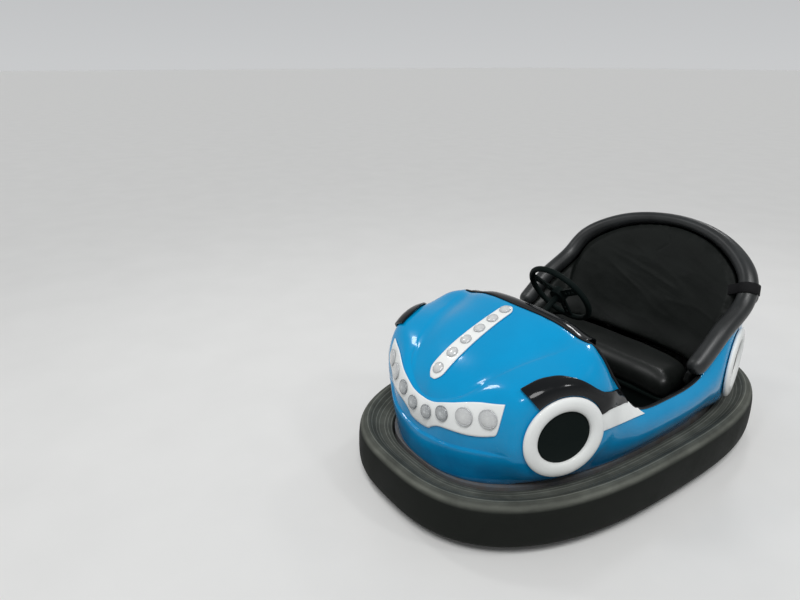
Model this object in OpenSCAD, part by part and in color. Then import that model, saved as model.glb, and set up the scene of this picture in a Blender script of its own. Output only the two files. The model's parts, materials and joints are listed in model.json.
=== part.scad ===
/* [Rubber bumper] */
// Length over the rubber bumper
car_l = 1950; // [1850:10:2100]
// Width over the rubber bumper
car_w = 1200; // [1140:10:1300]
// Width of the rubber ring, from its outer face to the steel band behind it
bumper_w = 142; // [125:1:160]
// Height of the bumper's top lip above the floor
bumper_top = 216; // [205:1:235]
// Height of the bumper's bottom above the floor
bumper_bottom = 34; // [25:1:45]

/* [Body shell] */
// Wall of the moulded body
shell_t = 6; // [4:0.5:10]
// Height of the body's bottom edge above the floor
body_z = 184; // [178:1:192]
// Bonnet height at its rear edge, on the centre line
bonnet_z = 705; // [680:5:740]
// Bonnet rear edge, behind the middle of the car when positive
bonnet_y = -362; // [-400:2:-340]
// Depth of the valley beside each fender ridge
valley = 10; // [0:1:18]

/* [Wheel rings] */
// Outer radius of the front wheel rings
front_ring_r = 155; // [140:1:165]
// Outer radius of the rear wheel rings
rear_ring_r = 153; // [135:1:158]
// Width of the white band of a wheel ring
ring_band = 53; // [40:1:60]
// How far a wheel ring stands off the body
ring_h = 24; // [14:1:30]

/* [Running gear] */
// Radius of the driven front wheel
drive_r = 100; // [90:1:110]
// Tread width of the driven front wheel
drive_w = 56; // [40:1:64]
// Place of the drive unit's swivel axis along the car
drive_y = -548; // [-560:2:-520]
// Radius of the two rear wheels
rear_r = 75; // [65:1:85]
// Tread width of the rear wheels
rear_w = 42; // [34:1:50]
// From the steel band in to the middle of each rear wheel
rear_inset = 138; // [125:1:180]
// Rear axle line along the car
rear_y = 560; // [480:5:600]

/* [Steering] */
// Radius of the steering wheel's rim, to the middle of its section
hand_r = 142; // [120:1:155]
// Radius of the rim's section
hand_grip = 12; // [9:0.5:15]
// Lean of the steering column from the vertical, in degrees
column_lean = 55; // [45:1:60]
// Height of the steering wheel's hub
hand_z = 700; // [670:5:730]
// Place of the steering wheel's hub along the car
hand_y = -104; // [-130:2:-90]
// Radius of the steering column
column_r = 12; // [9:0.5:16]

/* [Seat] */
// Height of the seat cushion's top above the floor
seat_z = 405; // [380:5:420]
// Front edge of the seat cushion along the car
seat_y = 92; // [60:2:110]
// Half width of the seat cushion
cushion_w = 412; // [370:2:420]
// Thickness of the seat cushion
cushion_t = 95; // [70:5:110]
// Thickness of the padded backrest
back_t = 44; // [34:1:52]

/* [Hidden] */

blue = "#1480c8";
white = "#e8ebea";
black = "#15171a";
rubber = "#2f322f";
steel = "#8c9094";
vinyl = "#1d201f";

// Running clearance between pieces that are bolted or glued together
fit = 0.3;
// Finer seat for trims laid on the faceted body
skin_gap = 1.5;
arch_gap = 1.4;
arch_t = 11;
// Radial clearance of shafts that turn in bores
run = 0.05;
ring_steps = 80;
$fn = 48;

// Steel band, floor and chassis heights
band_t = 6;
chassis_z = 96;
rail_h = 44;
rail_w = 40;
floor_t = 3;
flange_w = 24;

half_l = car_l / 2;
half_w = car_w / 2;
// The steel band runs just inside the rubber ring, and the body stands on its flange
band_l = half_l - bumper_w;
band_w = half_w - bumper_w;
rear_track = 2 * (band_w - rear_inset);

// Small helpers
function mix(a, b, k) = a + (b - a) * k;
function clamp(v, lo, hi) = max(lo, min(hi, v));
function ease(v) = let (k = clamp(v, 0, 1)) k * k * (3 - 2 * k);
function unit(v) = v / norm(v);
function flip(p) = [-p.x, p.y, p.z];
function power(v, e) = sign(v) * pow(abs(v), e);

// Smooth curve through the rows of a table, at the real row number s
function row(t, k) = t[clamp(k, 0, len(t) - 1)];
function smooth(t, s) =
    let (k = clamp(floor(s), 0, len(t) - 2), f = s - k,
        a = row(t, k - 1), b = row(t, k), c = row(t, k + 1), d = row(t, k + 2))
    0.5 * (2 * b + (c - a) * f + (2 * a - 5 * b + 4 * c - d) * f * f
        + (3 * b - a - 3 * c + d) * f * f * f);

// Plan outline of the car, as a rounded oval: angle 0 is the nose, 90 the left side
function oval(l, w, e, a) = [w * power(sin(a), 2 / e), -l * power(cos(a), 2 / e)];

// Closed solid between a front grid and a back grid of points, [column][line]
module slab(front, back) {
    m = len(front);
    n = len(front[0]);
    points = [for (g = [front, back], c = g, p = c) p];
    function at(g, i, j) = g * m * n + i * n + j;
    faces = [
        for (i = [0:m - 2], j = [0:n - 2]) each [
            [at(0, i, j), at(0, i, j + 1), at(0, i + 1, j + 1)],
            [at(0, i, j), at(0, i + 1, j + 1), at(0, i + 1, j)],
            [at(1, i, j), at(1, i + 1, j + 1), at(1, i, j + 1)],
            [at(1, i, j), at(1, i + 1, j), at(1, i + 1, j + 1)]],
        for (i = [0:m - 2]) each [
            [at(0, i, 0), at(0, i + 1, 0), at(1, i + 1, 0)],
            [at(0, i, 0), at(1, i + 1, 0), at(1, i, 0)],
            [at(0, i + 1, n - 1), at(0, i, n - 1), at(1, i, n - 1)],
            [at(0, i + 1, n - 1), at(1, i, n - 1), at(1, i + 1, n - 1)]],
        for (j = [0:n - 2]) each [
            [at(0, 0, j + 1), at(0, 0, j), at(1, 0, j)],
            [at(0, 0, j + 1), at(1, 0, j), at(1, 0, j + 1)],
            [at(0, m - 1, j), at(0, m - 1, j + 1), at(1, m - 1, j + 1)],
            [at(0, m - 1, j), at(1, m - 1, j + 1), at(1, m - 1, j)]]];
    polyhedron(points, faces);
}

// Solid swept through rings of points: closed on itself, or with flat ends
module swept(rings, closed = false) {
    m = len(rings);
    n = len(rings[0]);
    function at(i, j) = (i % m) * n + j % n;
    faces = [
        for (i = [0:closed ? m - 1 : m - 2], j = [0:n - 1]) each [
            [at(i, j), at(i + 1, j), at(i + 1, j + 1)],
            [at(i, j), at(i + 1, j + 1), at(i, j + 1)]],
        if (!closed) each [
            for (j = [1:n - 2]) [at(0, 0), at(0, j), at(0, j + 1)],
            for (j = [1:n - 2]) [at(m - 1, 0), at(m - 1, j + 1), at(m - 1, j)]]];
    polyhedron([for (r = rings, p = r) p], faces);
}

// Round tube along a path, with one side vector kept level
function tube_rings(path, r, sides = 10) = let (n = len(path)) [
    for (i = [0:n - 1])
        let (d = unit(path[min(i + 1, n - 1)] - path[max(i - 1, 0)]),
            u = unit(cross(d, [0.31, 0.17, 1])), v = cross(d, u))
        [for (k = [0:sides - 1]) path[i] + r * (cos(360 * k / sides) * u
            + sin(360 * k / sides) * v)]];

// Body form. Each station runs up from the bottom edge to the edge line, which is the
// fender crease at the front and the cockpit's edge behind it.
// Columns: base angle, edge line x, y and z, share of a rounded-over side (0 straight, 1 a
// quarter oval), then how far the side swells out at 20, 40, 60 and 80 percent of its way
form_l = 833;
form_w = 458;
stations = [
    [0, 0, -800, 440, 1, 5, -4, 6, 3],
    [12, 140, -764, 489, 1, 6, 8, 12, 12],
    [30, 212, -686, 555, 1, 25, 35, 40, 28],
    [44, 262, -576, 606, 1, 76, 90, 102, 82],
    [58, 304, -447, 634, 1, 60, 76, 90, 58],
    [69, 352, -325, 657, 1, 60, 78, 66, 38],
    [75, 440, -272, 515, 0.5, 38, 52, 50, 30],
    [82, 482, -190, 412, 0, 20, 34, 36, 24],
    [90, 490, 0, 398, 0, 18, 32, 38, 28],
    [99, 490, 190, 422, 0, 18, 34, 40, 28],
    [112, 487, 358, 541, 0, 28, 44, 44, 28],
    [126, 472, 526, 634, 0, 36, 26, 10, 0],
    [143, 408, 612, 750, 0, 36, 46, 36, 16],
    [157, 232, 676, 845, 0, 32, 54, 50, 28],
    [180, 0, 706, 878, 0, 26, 48, 52, 30]];
bonnet_s = 5;
last_s = len(stations) - 1;
// The form goes on past the nose and the tail as its own mirror image
function mirrored(st, turn) = concat([turn - st[0], -st[1]], [for (k = [2:8]) st[k]]);
form = concat([mirrored(stations[1], 0)], stations, [mirrored(stations[last_s - 1], 360)]);
kx = band_w / form_w;
ky = band_l / form_l;
form_base = 184;
form_top = 705;
kz = (bonnet_z - body_z) / (form_top - form_base);
function edge_point(st) = [st[1] * kx, st[2] * ky, body_z + (st[3] - form_base) * kz];

// Flat seats for the wheel rings: centre, normal, ring radius
front_seat = [[440 * kx, -543 * ky, body_z + 222 * kz], unit([0.954, -0.301, 0]), front_ring_r];
rear_seat = [[454 * kx, 504 * ky, body_z + 216 * kz], unit([0.944, 0.33, 0]), rear_ring_r];
flat_more = 14;
blend_w = 60;
function press(p, seat, t) =
    let (d = p - seat[0], h = d * seat[1], r = norm(d - h * seat[1]),
        k = abs(h) > 90 ? 0 : (1 - ease((r - seat[2] - flat_more) / blend_w))
            * (1 - ease((t - 0.93) / 0.07)))
    p - k * h * seat[1];

// Side of the body at station s and share t of its height
function side_raw(s, t) =
    let (st = smooth(form, s + 1), e = edge_point(st),
        b2 = oval(band_l - 4, band_w - 4, 2.5, st[0]), b = [b2.x, b2.y, body_z],
        out = unit([sin(st[0]) * 1.5 + 0.0001, -cos(st[0]), 0]),
        swell = kx * smooth([[0], [st[5]], [st[6]], [st[7]], [st[8]], [0]], t * 5)[0],
        inward = mix(t, 1 - cos(90 * t), st[4]), up = mix(t, sin(90 * t), st[4]))
    [mix(b.x, e.x, inward), mix(b.y, e.y, inward), mix(b.z, e.z, up)] + swell * out;
function side(s, t) = press(press(side_raw(s, t), front_seat, t), rear_seat, t);

// Centre line of the bonnet at station s
nose_y = edge_point(stations[0]).y;
nose_z = edge_point(stations[0]).z;
function ridge_z(y) = let (u = clamp((bonnet_y - y) / (bonnet_y - nose_y), 0, 1))
    nose_z + (bonnet_z - nose_z) * pow(1 - pow(u, 1.1), 0.55);
function crest(s) = let (y = mix(nose_y + 30, bonnet_y, s / bonnet_s)) [0, y, ridge_z(y)];

// Bonnet at station s, share c across from the crease to the centre line
function dip(c) = smooth([[0], [-0.6], [-1], [-0.6], [-0.2], [0], [0]], clamp(c / 0.09, 0, 6))[0];
function bonnet(s, c) =
    let (a = side(s, 1), b = crest(s), y = mix(a.y, b.y, c), fall = ridge_z(a.y) - a.z)
    [mix(a.x, b.x, c), y,
        ridge_z(y) - fall * pow(1 - c, 2.2) + valley * dip(c) * ease(s / bonnet_s)];

// Body shell
side_cols = [for (k = [0:4 * last_s]) k / 4];
side_rows = [0, 0.1, 0.2, 0.3, 0.4, 0.5, 0.6, 0.7, 0.8, 0.9, 1];
bonnet_rows = [0.045, 0.1, 0.16, 0.25, 0.38, 0.55, 0.77, 1];
function outer_grid() = [for (s = side_cols) concat(
    [for (t = side_rows) side(s, t)],
    [for (c = bonnet_rows) s <= bonnet_s ? bonnet(s, c) : side(s, 1)])];

module body_shell() {
    g = outer_grid();
    m = len(g);
    n = len(g[0]);
    ib = 4 * bonnet_s;
    jb = len(side_rows) - 1;
    function centre(i, j) = i == 0 || i == m - 1 || j == n - 1;
    function near(i, j) = i < 0 ? flip(g[-i][j]) : i > m - 1 ? flip(g[2 * m - 2 - i][j])
        : j > n - 1 ? flip(g[i][2 * n - 2 - j]) : g[i][max(j, 0)];
    function top(i) = i <= ib ? n : jb;
    function out(i, j) = unit(cross(
        near(i + 1 > ib && i <= ib && j > jb ? i : i + 1, j) - near(i - 1, j),
        near(i, min(j + 1, top(i))) - near(i, j - 1)));
    inner = [for (i = [0:m - 1]) [for (j = [0:n - 1])
        let (o = i > ib && j > jb ? [0, 0, 1] : out(max(i, j == n - 1 ? 1 : 0), j),
            c = unit([centre(i, j) ? 0 : o.x, o.y, j == 0 ? 0 : o.z]))
        g[i][j] - shell_t * c]];
    count = m * n;
    points = [for (h = [g, inner], f = [1, -1], c = h, p = c) [f * p.x, p.y, p.z]];
    // Number of a point: layer, side of the car, column, line
    function at(l, h, i, j) = (2 * l + (h == 1 && !centre(i, j) ? 1 : 0)) * count + i * n + j;
    function tri(h, a, b, c) = h == 0 ? [a, b, c] : [a, c, b];
    cells = [for (i = [0:m - 2], j = [0:n - 2]) if (j < jb || i < ib) [i, j]];
    faces = [for (h = [0, 1]) each [
        for (q = cells) let (i = q[0], j = q[1], e = i == 0 && j == n - 2 ? 1 : 0) each [
            tri(h, at(0, h, i, j), at(0, h, i, j + 1), at(0, h, i + 1, j + 1 - e)),
            tri(h, at(0, h, i, j + e), at(0, h, i + 1, j + 1), at(0, h, i + 1, j)),
            tri(h, at(1, h, i, j), at(1, h, i + 1, j + 1 - e), at(1, h, i, j + 1)),
            tri(h, at(1, h, i, j + e), at(1, h, i + 1, j), at(1, h, i + 1, j + 1))],
        for (i = [0:m - 2]) each [
            tri(h, at(0, h, i, 0), at(0, h, i + 1, 0), at(1, h, i + 1, 0)),
            tri(h, at(0, h, i, 0), at(1, h, i + 1, 0), at(1, h, i, 0))],
        for (i = [ib:m - 2]) each [
            tri(h, at(0, h, i + 1, jb), at(0, h, i, jb), at(1, h, i, jb)),
            tri(h, at(0, h, i + 1, jb), at(1, h, i, jb), at(1, h, i + 1, jb))],
        for (j = [jb:n - 2]) each [
            tri(h, at(0, h, ib, j), at(0, h, ib, j + 1), at(1, h, ib, j + 1)),
            tri(h, at(0, h, ib, j), at(1, h, ib, j + 1), at(1, h, ib, j))]]];
    color(blue) polyhedron(points, faces);
}

// Bumper: section as inset from the outer face and height, swept round the oval
shelf_z = body_z - 2;
function bumper_section() = let (w = bumper_w - fit, z0 = bumper_bottom, z1 = bumper_top) [
    [18, z0], [4, z0 + 12], [0, z0 + 40], [0, mix(z0, z1, 0.55)], [3, z1 - 34],
    [10, z1 - 14], [22, z1 - 3], [36, z1], [48, z1 - 6], [58, z1 - 17], [88, shelf_z],
    [96, shelf_z + 3], [w - 14, shelf_z], [w, shelf_z - 12], [w, z0 + 40], [w - 8, z0 + 22],
    [w - 60, z0 + 4]];
module bumper_tyre() color(rubber) {
    section = bumper_section();
    swept([for (k = [0:ring_steps - 1]) [for (q = section)
        let (p = oval(half_l - q[0], half_w - q[0], 2.7, -360 * k / ring_steps))
        [p.x, p.y, q[1]]]], true);
}

// Ring of a plan oval, extruded
module oval_plate(l, w, e = 2.7) polygon([for (k = [0:ring_steps - 1])
    oval(l, w, e, 360 * k / ring_steps)]);

// Welded frame: two rails, and cross members butted between them and the band
drive_gap = 205;
cross_y = [-740, drive_y + drive_gap, 290, 700];
tie_y = [-300, 240];
tie_r = 6.5;
tie_depth = 32;
module bar(x0, x1, y0, y1) translate([x0, y0, chassis_z]) cube([x1 - x0, y1 - y0, rail_h]);
module frame_bars() intersection() {
    linear_extrude(chassis_z + rail_h + 1)
        oval_plate(band_l - band_t - fit, band_w - band_t - fit);
    union() for (f = [0, 1]) mirror([f, 0, 0]) {
        bar(drive_gap - rail_w / 2, drive_gap + rail_w / 2, -band_l, band_l);
        for (y = cross_y)
            bar(drive_gap + rail_w / 2 + fit, band_w, y - rail_w / 2, y + rail_w / 2);
    }
}

// Head plate that carries the drive unit, on four posts; its boss reaches below and above it
head_z = 262;
head_t = 8;
head_l = 120;
boss_r = 46;
boss_low = 20;
boss_high = 14;
king_r = 22;
post_w = 30;
post_y = 45;
module drive_head_plate() difference() {
    union() {
        translate([-drive_gap - rail_w / 2, drive_y - head_l / 2, head_z])
            cube([2 * drive_gap + rail_w, head_l, head_t]);
        translate([0, drive_y, head_z - boss_low]) cylinder(r = boss_r, h = boss_low + boss_high);
    }
    translate([0, drive_y, head_z - boss_low - 1]) cylinder(r = king_r, h = boss_low + boss_high + 2);
}
// Perimeter band with the flange that carries the body, butted together from equal lengths
band_lengths = 8;
module oval_ring(w) difference() {
    oval_plate(band_l, band_w);
    oval_plate(band_l - w, band_w - w);
}
module bumper_band() color(steel) difference() {
    union() {
        translate([0, 0, chassis_z]) linear_extrude(body_z - fit - chassis_z) oval_ring(band_t);
        translate([0, 0, body_z - fit - band_t]) linear_extrude(band_t) oval_ring(flange_w);
    }
    for (k = [0:band_lengths - 1]) rotate([0, 0, 360 * (k + 0.5) / band_lengths])
        translate([0, -fit / 2, chassis_z - 1]) cube([half_l, fit, body_z - chassis_z + 1]);
}

module chassis_frame() color(steel) {
    // Rails with blind tie-down holes underneath
    difference() {
        frame_bars();
        for (x = [-1, 1], y = tie_y) translate([x * drive_gap, y, chassis_z - 2])
            cylinder(r = tie_r, h = tie_depth + 2);
    }
    for (y = cross_y) bar(-drive_gap + rail_w / 2 + fit, drive_gap - rail_w / 2 - fit,
        y - rail_w / 2, y + rail_w / 2);
    drive_head_plate();
    for (x = [-1, 1], y = [-1, 1])
        translate([x * drive_gap - post_w / 2, drive_y + y * post_y - post_w / 2,
            chassis_z + rail_h + fit])
            cube([post_w, post_w, head_z - chassis_z - rail_h - 2 * fit]);
}

// Floor, open over the drive unit, the posts and the rear wheels
floor_front = -760;
floor_rear = 700;
wheel_room = 14;
post_room = 2;
module floor_pan() color("#3a3d40") difference() {
    translate([0, 0, chassis_z + rail_h + fit]) linear_extrude(floor_t) intersection() {
        oval_plate(band_l - band_t - fit, band_w - band_t - fit);
        translate([-half_w, floor_front]) square([car_w, floor_rear - floor_front]);
    }
    translate([0, 0, chassis_z + rail_h]) linear_extrude(floor_t + 1) {
        translate([-drive_gap + rail_w / 2, cross_y[0] + rail_w])
            square([2 * drive_gap - rail_w, cross_y[1] - cross_y[0] - 1.5 * rail_w]);
        for (x = [-1, 1]) {
            translate([x * drive_gap, drive_y])
                square([post_w + 2 * post_room, 2 * (post_y + post_room) + post_w], center = true);
            translate([x * rear_track / 2, rear_y])
                square([rear_w + 2 * wheel_room, 2 * (rear_r + wheel_room)], center = true);
        }
    }
}

// Frame of the edge line at station s: outward normal of the skin, and the way beyond it
function edge_frame(s) =
    let (e = 0.03, along = s > last_s - e ? [-1, 0, 0] : unit(side(s + e, 1) - side(s - e, 1)),
        out = unit(cross(along, side(s, 1) - side(s, 0.93))))
    [out, cross(out, along)];

// Liner inside the cockpit's side: a lip on the edge, then the inner wall to the floor
liner_in = 36;
liner_t = 4;
module side_liner(f) {
    cols = [for (k = [0:16]) mix(6.7, 9.08, k / 16)];
    floor_z = chassis_z + rail_h + floor_t + 2 * fit;
    function lip(s, a, b) = let (q = edge_frame(s)) side(s, 1) + a * q[0] + b * q[1];
    function foot(s, d) = let (b = side(s, 0)) [b.x - liner_in + d, b.y, floor_z];
    function pt(p) = [f * p.x, p.y, p.z];
    front = [for (s = cols) [for (p = [lip(s, 3, fit), lip(s, 4, 5), lip(s, 0, 9), lip(s, -13, 8),
        lip(s, -22, 1), mix(lip(s, -22, 1), foot(s, -liner_t), 0.4), foot(s, -liner_t)]) pt(p)]];
    back = [for (s = cols) [for (p = [lip(s, 1, fit), lip(s, 1, 3), lip(s, -2, 5), lip(s, -11, 4),
        lip(s, -17, -2), mix(lip(s, -17, -2), foot(s, 0), 0.4), foot(s, 0)]) pt(p)]];
    color(black) if (f > 0) slab(front, back);
    else slab(back, front);
}

// Cowl behind the bonnet's rear edge. Columns: share of the width kept, then how far each
// line lies behind the edge and under it, and which way its wall is thick
cowl = [[1, -15, -10.4, 1, -0.3], [0.99, 23, -5, 0, -1], [0.975, 56, -7, 0, -1],
    [0.955, 84, -15, -0.5, -0.8], [0.93, 100, -38, -0.9, -0.4], [0.9, 98, -88, -1, 0],
    [0.86, 79, -144, -1, 0]];
cowl_t = 5;
cowl_room = 16;
module dash_cowl() {
    cols = [for (k = [-14:14]) k / 14];
    function line(k, d) = let (e = bonnet(bonnet_s, 1 - 0.92 * abs(k))) [for (q = cowl)
        [sign(k) * e.x * q[0], e.y + q[1] + d * q[3], e.z + q[2] + d * q[4]]];
    color(black) difference() {
        slab([for (k = cols) line(k, 0)], [for (k = cols) line(k, cowl_t)]);
        on_column() translate([0, 0, -400]) cylinder(r = column_r + cowl_room, h = 400);
    }
}

// Rubber edging along the bonnet's rear edge and down both fenders
edging_r = 6;
edging_at = [-2, edging_r + 1.1, 0];
module bonnet_edge_trim() color(black) {
    across = [for (c = [0:0.125:1]) bonnet(bonnet_s, c)];
    down = [for (s = [bonnet_s + 1.1:-0.22:bonnet_s + 0.1]) side(s, 1)];
    left = concat(down, across);
    path = concat([for (p = left) p + edging_at],
        [for (k = [len(left) - 2:-1:0]) flip(left[k] + edging_at)]);
    swept(tube_rings(path, edging_r, 8));
}

// Trim laid on the skin of the body: columns of station and two heights
function on_side(s, t, h) =
    let (e = 0.02, p = side(s, t), a = side(min(s + e, last_s), t) - side(max(s - e, 0), t),
        b = side(s, min(t + e, 1)) - side(s, max(t - e, 0)))
    p + h * unit(cross(a, b));

// Light band. Columns: station, lower and upper height
band_rows = [[0, 0.39, 0.9], [0.36, 0.395, 0.845], [0.46, 0.42, 0.833], [0.75, 0.445, 0.815],
    [1.2, 0.425, 0.775], [1.6, 0.395, 0.725], [2, 0.385, 0.68], [2.32, 0.4, 0.665]];
band_t0 = 5;
band_lean = 0.08;
function band_line(k, h) = let (q = smooth(band_rows, 7 * abs(k))) [for (j = [0:4])
    let (p = on_side(q[0] * (1 + band_lean * j / 4), mix(q[1], q[2], j / 4), h))
    k < 0 ? flip(p) : p];
module light_band() color(white) {
    cols = [for (k = [-24:24]) k / 24];
    slab([for (k = cols) band_line(k, skin_gap + band_t0)], [for (k = cols) band_line(k, skin_gap)]);
}

// Lens with a domed face, lying on the plane through p with normal n
module lens(p, n, r, h) translate(p) rotate([0, acos(clamp(n.z, -1, 1)), atan2(n.y, n.x)])
    rotate_extrude() polygon(concat([[0, 0], [r, 0]],
        [for (a = [0:15:90]) [r * cos(a), h * (0.4 + 0.6 * sin(a))]]));

// Strip along the bonnet's middle, and its lamps
strip_w = 62;
strip_front = 30;
strip_rear = 24;
strip_t = 5;
strip_crown = 1.4;
function strip_y(k) = mix(nose_y + strip_front, bonnet_y - strip_rear, k);
module bonnet_strip() {
    cols = [for (k = [0:24]) k / 24];
    function half_at(k) = let (e = min(k, 1 - k) * 24 / 1.6)
        strip_w / 2 * (e >= 1 ? 1 : sqrt(max(0.12, 1 - (1 - e) * (1 - e))));
    function line(k, h) = [for (j = [-2:2]) let (y = strip_y(k), w = half_at(k))
        [-j / 2 * w, y, ridge_z(y) + skin_gap + h + (h > 0 ? strip_crown * (1 - j * j / 4) : 0)]];
    color(white) slab([for (k = cols) line(k, strip_t)], [for (k = cols) line(k, 0)]);
}

// Lamps of the band. Columns: station, height, radius, lift off the band
band_lamp = [[0.26, 0.63, 27, 0.5], [0.84, 0.62, 29, 0.5], [1.52, 0.575, 34, 0.5],
    [2.12, 0.54, 35, 1.3]];
band_lamp_h = 10;
strip_lamp_r = 23;
strip_lamp_h = 9;
strip_lamp_last = 5;
module lamp_lenses() color("#c9d0d2") {
    for (q = band_lamp) {
        p = on_side(q[0], q[1], skin_gap + band_t0 + q[3]);
        n = unit(on_side(q[0], q[1], 2) - on_side(q[0], q[1], 1));
        for (f = [0, 1]) mirror([f, 0, 0]) lens(p, n, q[2], band_lamp_h);
    }
    for (k = [0:strip_lamp_last]) {
        y = strip_y(0.075 + 0.85 * k / strip_lamp_last);
        n = unit([0, -(ridge_z(y + 5) - ridge_z(y - 5)) / 10, 1]);
        lens([0, y, ridge_z(y) + skin_gap + strip_t + strip_crown] + n * 0.4, n, strip_lamp_r,
            strip_lamp_h);
    }
}

// Turns a shape drawn flat, its face up, onto a ring seat
module on_seat(seat, f) mirror([f < 0 ? 1 : 0, 0, 0]) translate(seat[0])
    rotate([0, acos(clamp(seat[1].z, -1, 1)), atan2(seat[1].y, seat[1].x)]) children();

foot_in = 20;
foot_out = 2;
disc_edge = 7;
disc_top = 9;
disc_dish = 5;
module wheel_ring(seat, f) color(white) on_seat(seat, f) rotate_extrude($fn = 72) {
    r = seat[2];
    polygon(concat([[r - ring_band, fit], [r - foot_in, fit], [r - foot_out, 5]],
        [for (a = [-20:15:170]) [r - ring_band / 2 + (ring_band / 2) * cos(a),
            ring_h * 0.45 + ring_h * 0.55 * sin(a)]],
        [[r - ring_band, ring_h * 0.5]]));
}

module wheel_disc(seat, f) color(black) on_seat(seat, f) rotate_extrude($fn = 72)
    polygon([[0, fit], [seat[2] - ring_band - fit, fit], [seat[2] - ring_band - fit, disc_edge],
        [seat[2] - ring_band - 10, disc_top], [0, disc_dish]]);

// Lands a point on the body's side along the front seat's normal, by Newton's steps over
// station and height
seat_u = unit(cross([0, 0, 1], front_seat[1]));
seat_v = cross(front_seat[1], seat_u);
function land(p, s, t, k) = k == 0 ? [s, t] :
    let (e = 0.01, c = side(s, t), ds = (side(s + e, t) - c) / e, dt = (side(s, t + e) - c) / e,
        a = ds * seat_u, b = dt * seat_u, g = ds * seat_v, h = dt * seat_v, det = a * h - b * g,
        m = (p - c) * seat_u, n = (p - c) * seat_v,
        step_s = clamp((m * h - b * n) / det, -0.5, 0.5),
        step_t = clamp((a * n - g * m) / det, -0.15, 0.15))
    land(p, clamp(s + step_s, 1, 7.6), clamp(t + step_t, 0.05, 0.97), k - 1);
// Station and height of the skin beside the front ring, at an angle round it from the top
function by_ring(a) = let (u = (front_ring_r + 4) * sin(a), v = (front_ring_r + 4) * cos(a))
    land(front_seat[0] + u * seat_u + v * seat_v, 3.7 + u / 90, 0.45 + v / 800, 12);

// Arch trim over a front wheel ring, from its front tip back to the cockpit's edge
// Columns: angle of the lower edge round the ring, then the upper edge's station and height
arch = [[-40, 2.84, 0.794], [-28, 3.01, 0.822], [-16, 3.23, 0.849], [-4, 3.46, 0.849],
    [8, 3.69, 0.831], [21, 3.92, 0.785], [33, 4.12, 0.735], [45, 4.31, 0.67],
    [57, 4.54, 0.592], [67, 4.8, 0.54]];
// Rear of the arch trim, then the blade under it. Columns: station and height, low and high
arch_rear = [[5.02, 0.44, 5.1, 0.55], [5.36, 0.503, 5.35, 0.615], [5.72, 0.628, 5.55, 0.7],
    [6.08, 0.8, 5.76, 0.815], [6.42, 0.93, 6.02, 0.945]];
blade = [[5.16, 0.333, 4.97, 0.425], [5.61, 0.419, 5.3, 0.474], [5.99, 0.549, 5.67, 0.593],
    [6.5, 0.745, 6.12, 0.785], [6.68, 0.8, 6.47, 0.915], [7.14, 0.92, 6.86, 0.955]];
// The blade starts between two angles round the ring, and lies a little higher than the trim
blade_from = 93;
blade_to = 71;
blade_more = 0.4;
blade_t = 5.2;
arch_crown = 3;
// Trim between two edges given by station and height
module side_trim(rows, steps, lines, low, high, crown, f) {
    cols = [for (k = [0:steps]) smooth(rows, (len(rows) - 1) * k / steps)];
    function line(c, h, more) = [for (j = [0:lines]) let (q = j / lines,
            p = on_side(mix(c[0], c[2], q), mix(c[1], c[3], q), h + more * 4 * q * (1 - q)))
        [f * p.x, p.y, p.z]];
    a = [for (c = cols) line(c, high, crown)];
    b = [for (c = cols) line(c, low, 0)];
    if (f > 0) slab(a, b);
    else slab(b, a);
}
module arch_trim(f) color(black) {
    rows = concat([for (q = arch) concat(by_ring(q[0]), [q[1], q[2]])], arch_rear);
    side_trim(rows, 36, 4, arch_gap, arch_t - arch_crown, arch_crown, f);
}
module sill_blade(f) color(white) {
    rows = concat([concat(by_ring(blade_from), by_ring(blade_to))], blade);
    side_trim(rows, 18, 3, skin_gap + blade_more, blade_t, 0, f);
}

// Seat
bench_z = seat_z - cushion_t;
floor_top = chassis_z + rail_h + floor_t + fit;
bench_w = 372;
bench_rear = 470;
bench_wall = 8;
board_t = 9;
cushion_rear = bench_rear - 62;
// How far behind its front edge the cushion is widest
seat_wide = 110;
// Radii of the cushion's corners in plan, and of its front and back edges
cushion_corner = 30;
front_r = 34;
back_r = 20;
back_drop = 26;
module seat_base() color(black) {
    y0 = seat_y + 26;
    top = bench_z - fit - board_t;
    difference() {
        translate([-bench_w * kx, y0, floor_top + fit])
            cube([2 * bench_w * kx, bench_rear - y0, top - floor_top - fit + 1]);
        translate([-bench_w * kx + bench_wall, y0 + bench_wall, floor_top - 1])
            cube([2 * (bench_w * kx - bench_wall), bench_rear - y0 - 2 * bench_wall,
                top - floor_top + 1]);
    }
    translate([0, 0, top]) linear_extrude(board_t) cushion_plan(seat_y + 14, cushion_w - 6);
}

// Plan of the cushion from its front edge y0 back, w to each side
module cushion_plan(y0, w) {
    wide_y = seat_y + seat_wide;
    translate([0, wide_y]) intersection() {
        oval_plate(cushion_rear - wide_y, w * kx, 3);
        translate([-w, 0]) square([2 * w, cushion_rear]);
    }
    hull() for (x = [-1, 1]) {
        translate([x * (w * kx - cushion_corner), y0 + cushion_corner]) circle(r = cushion_corner);
        translate([x * w * kx - (x > 0 ? 2 : 0), wide_y - 1]) square([2, 1]);
    }
}
module seat_cushion() color(vinyl) intersection() {
    translate([-half_w, 0, 0]) rotate([90, 0, 90]) linear_extrude(2 * half_w) hull() {
        translate([seat_y + front_r, bench_z + front_r + fit]) circle(r = front_r);
        translate([seat_y + front_r - 2, seat_z - front_r + 2]) circle(r = front_r - 2);
        translate([cushion_rear + 2, seat_z - back_drop - back_r]) circle(r = back_r);
        translate([cushion_rear + 2, bench_z + back_r + fit]) circle(r = back_r);
    }
    translate([0, 0, bench_z]) linear_extrude(cushion_t) cushion_plan(seat_y, cushion_w);
}

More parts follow.
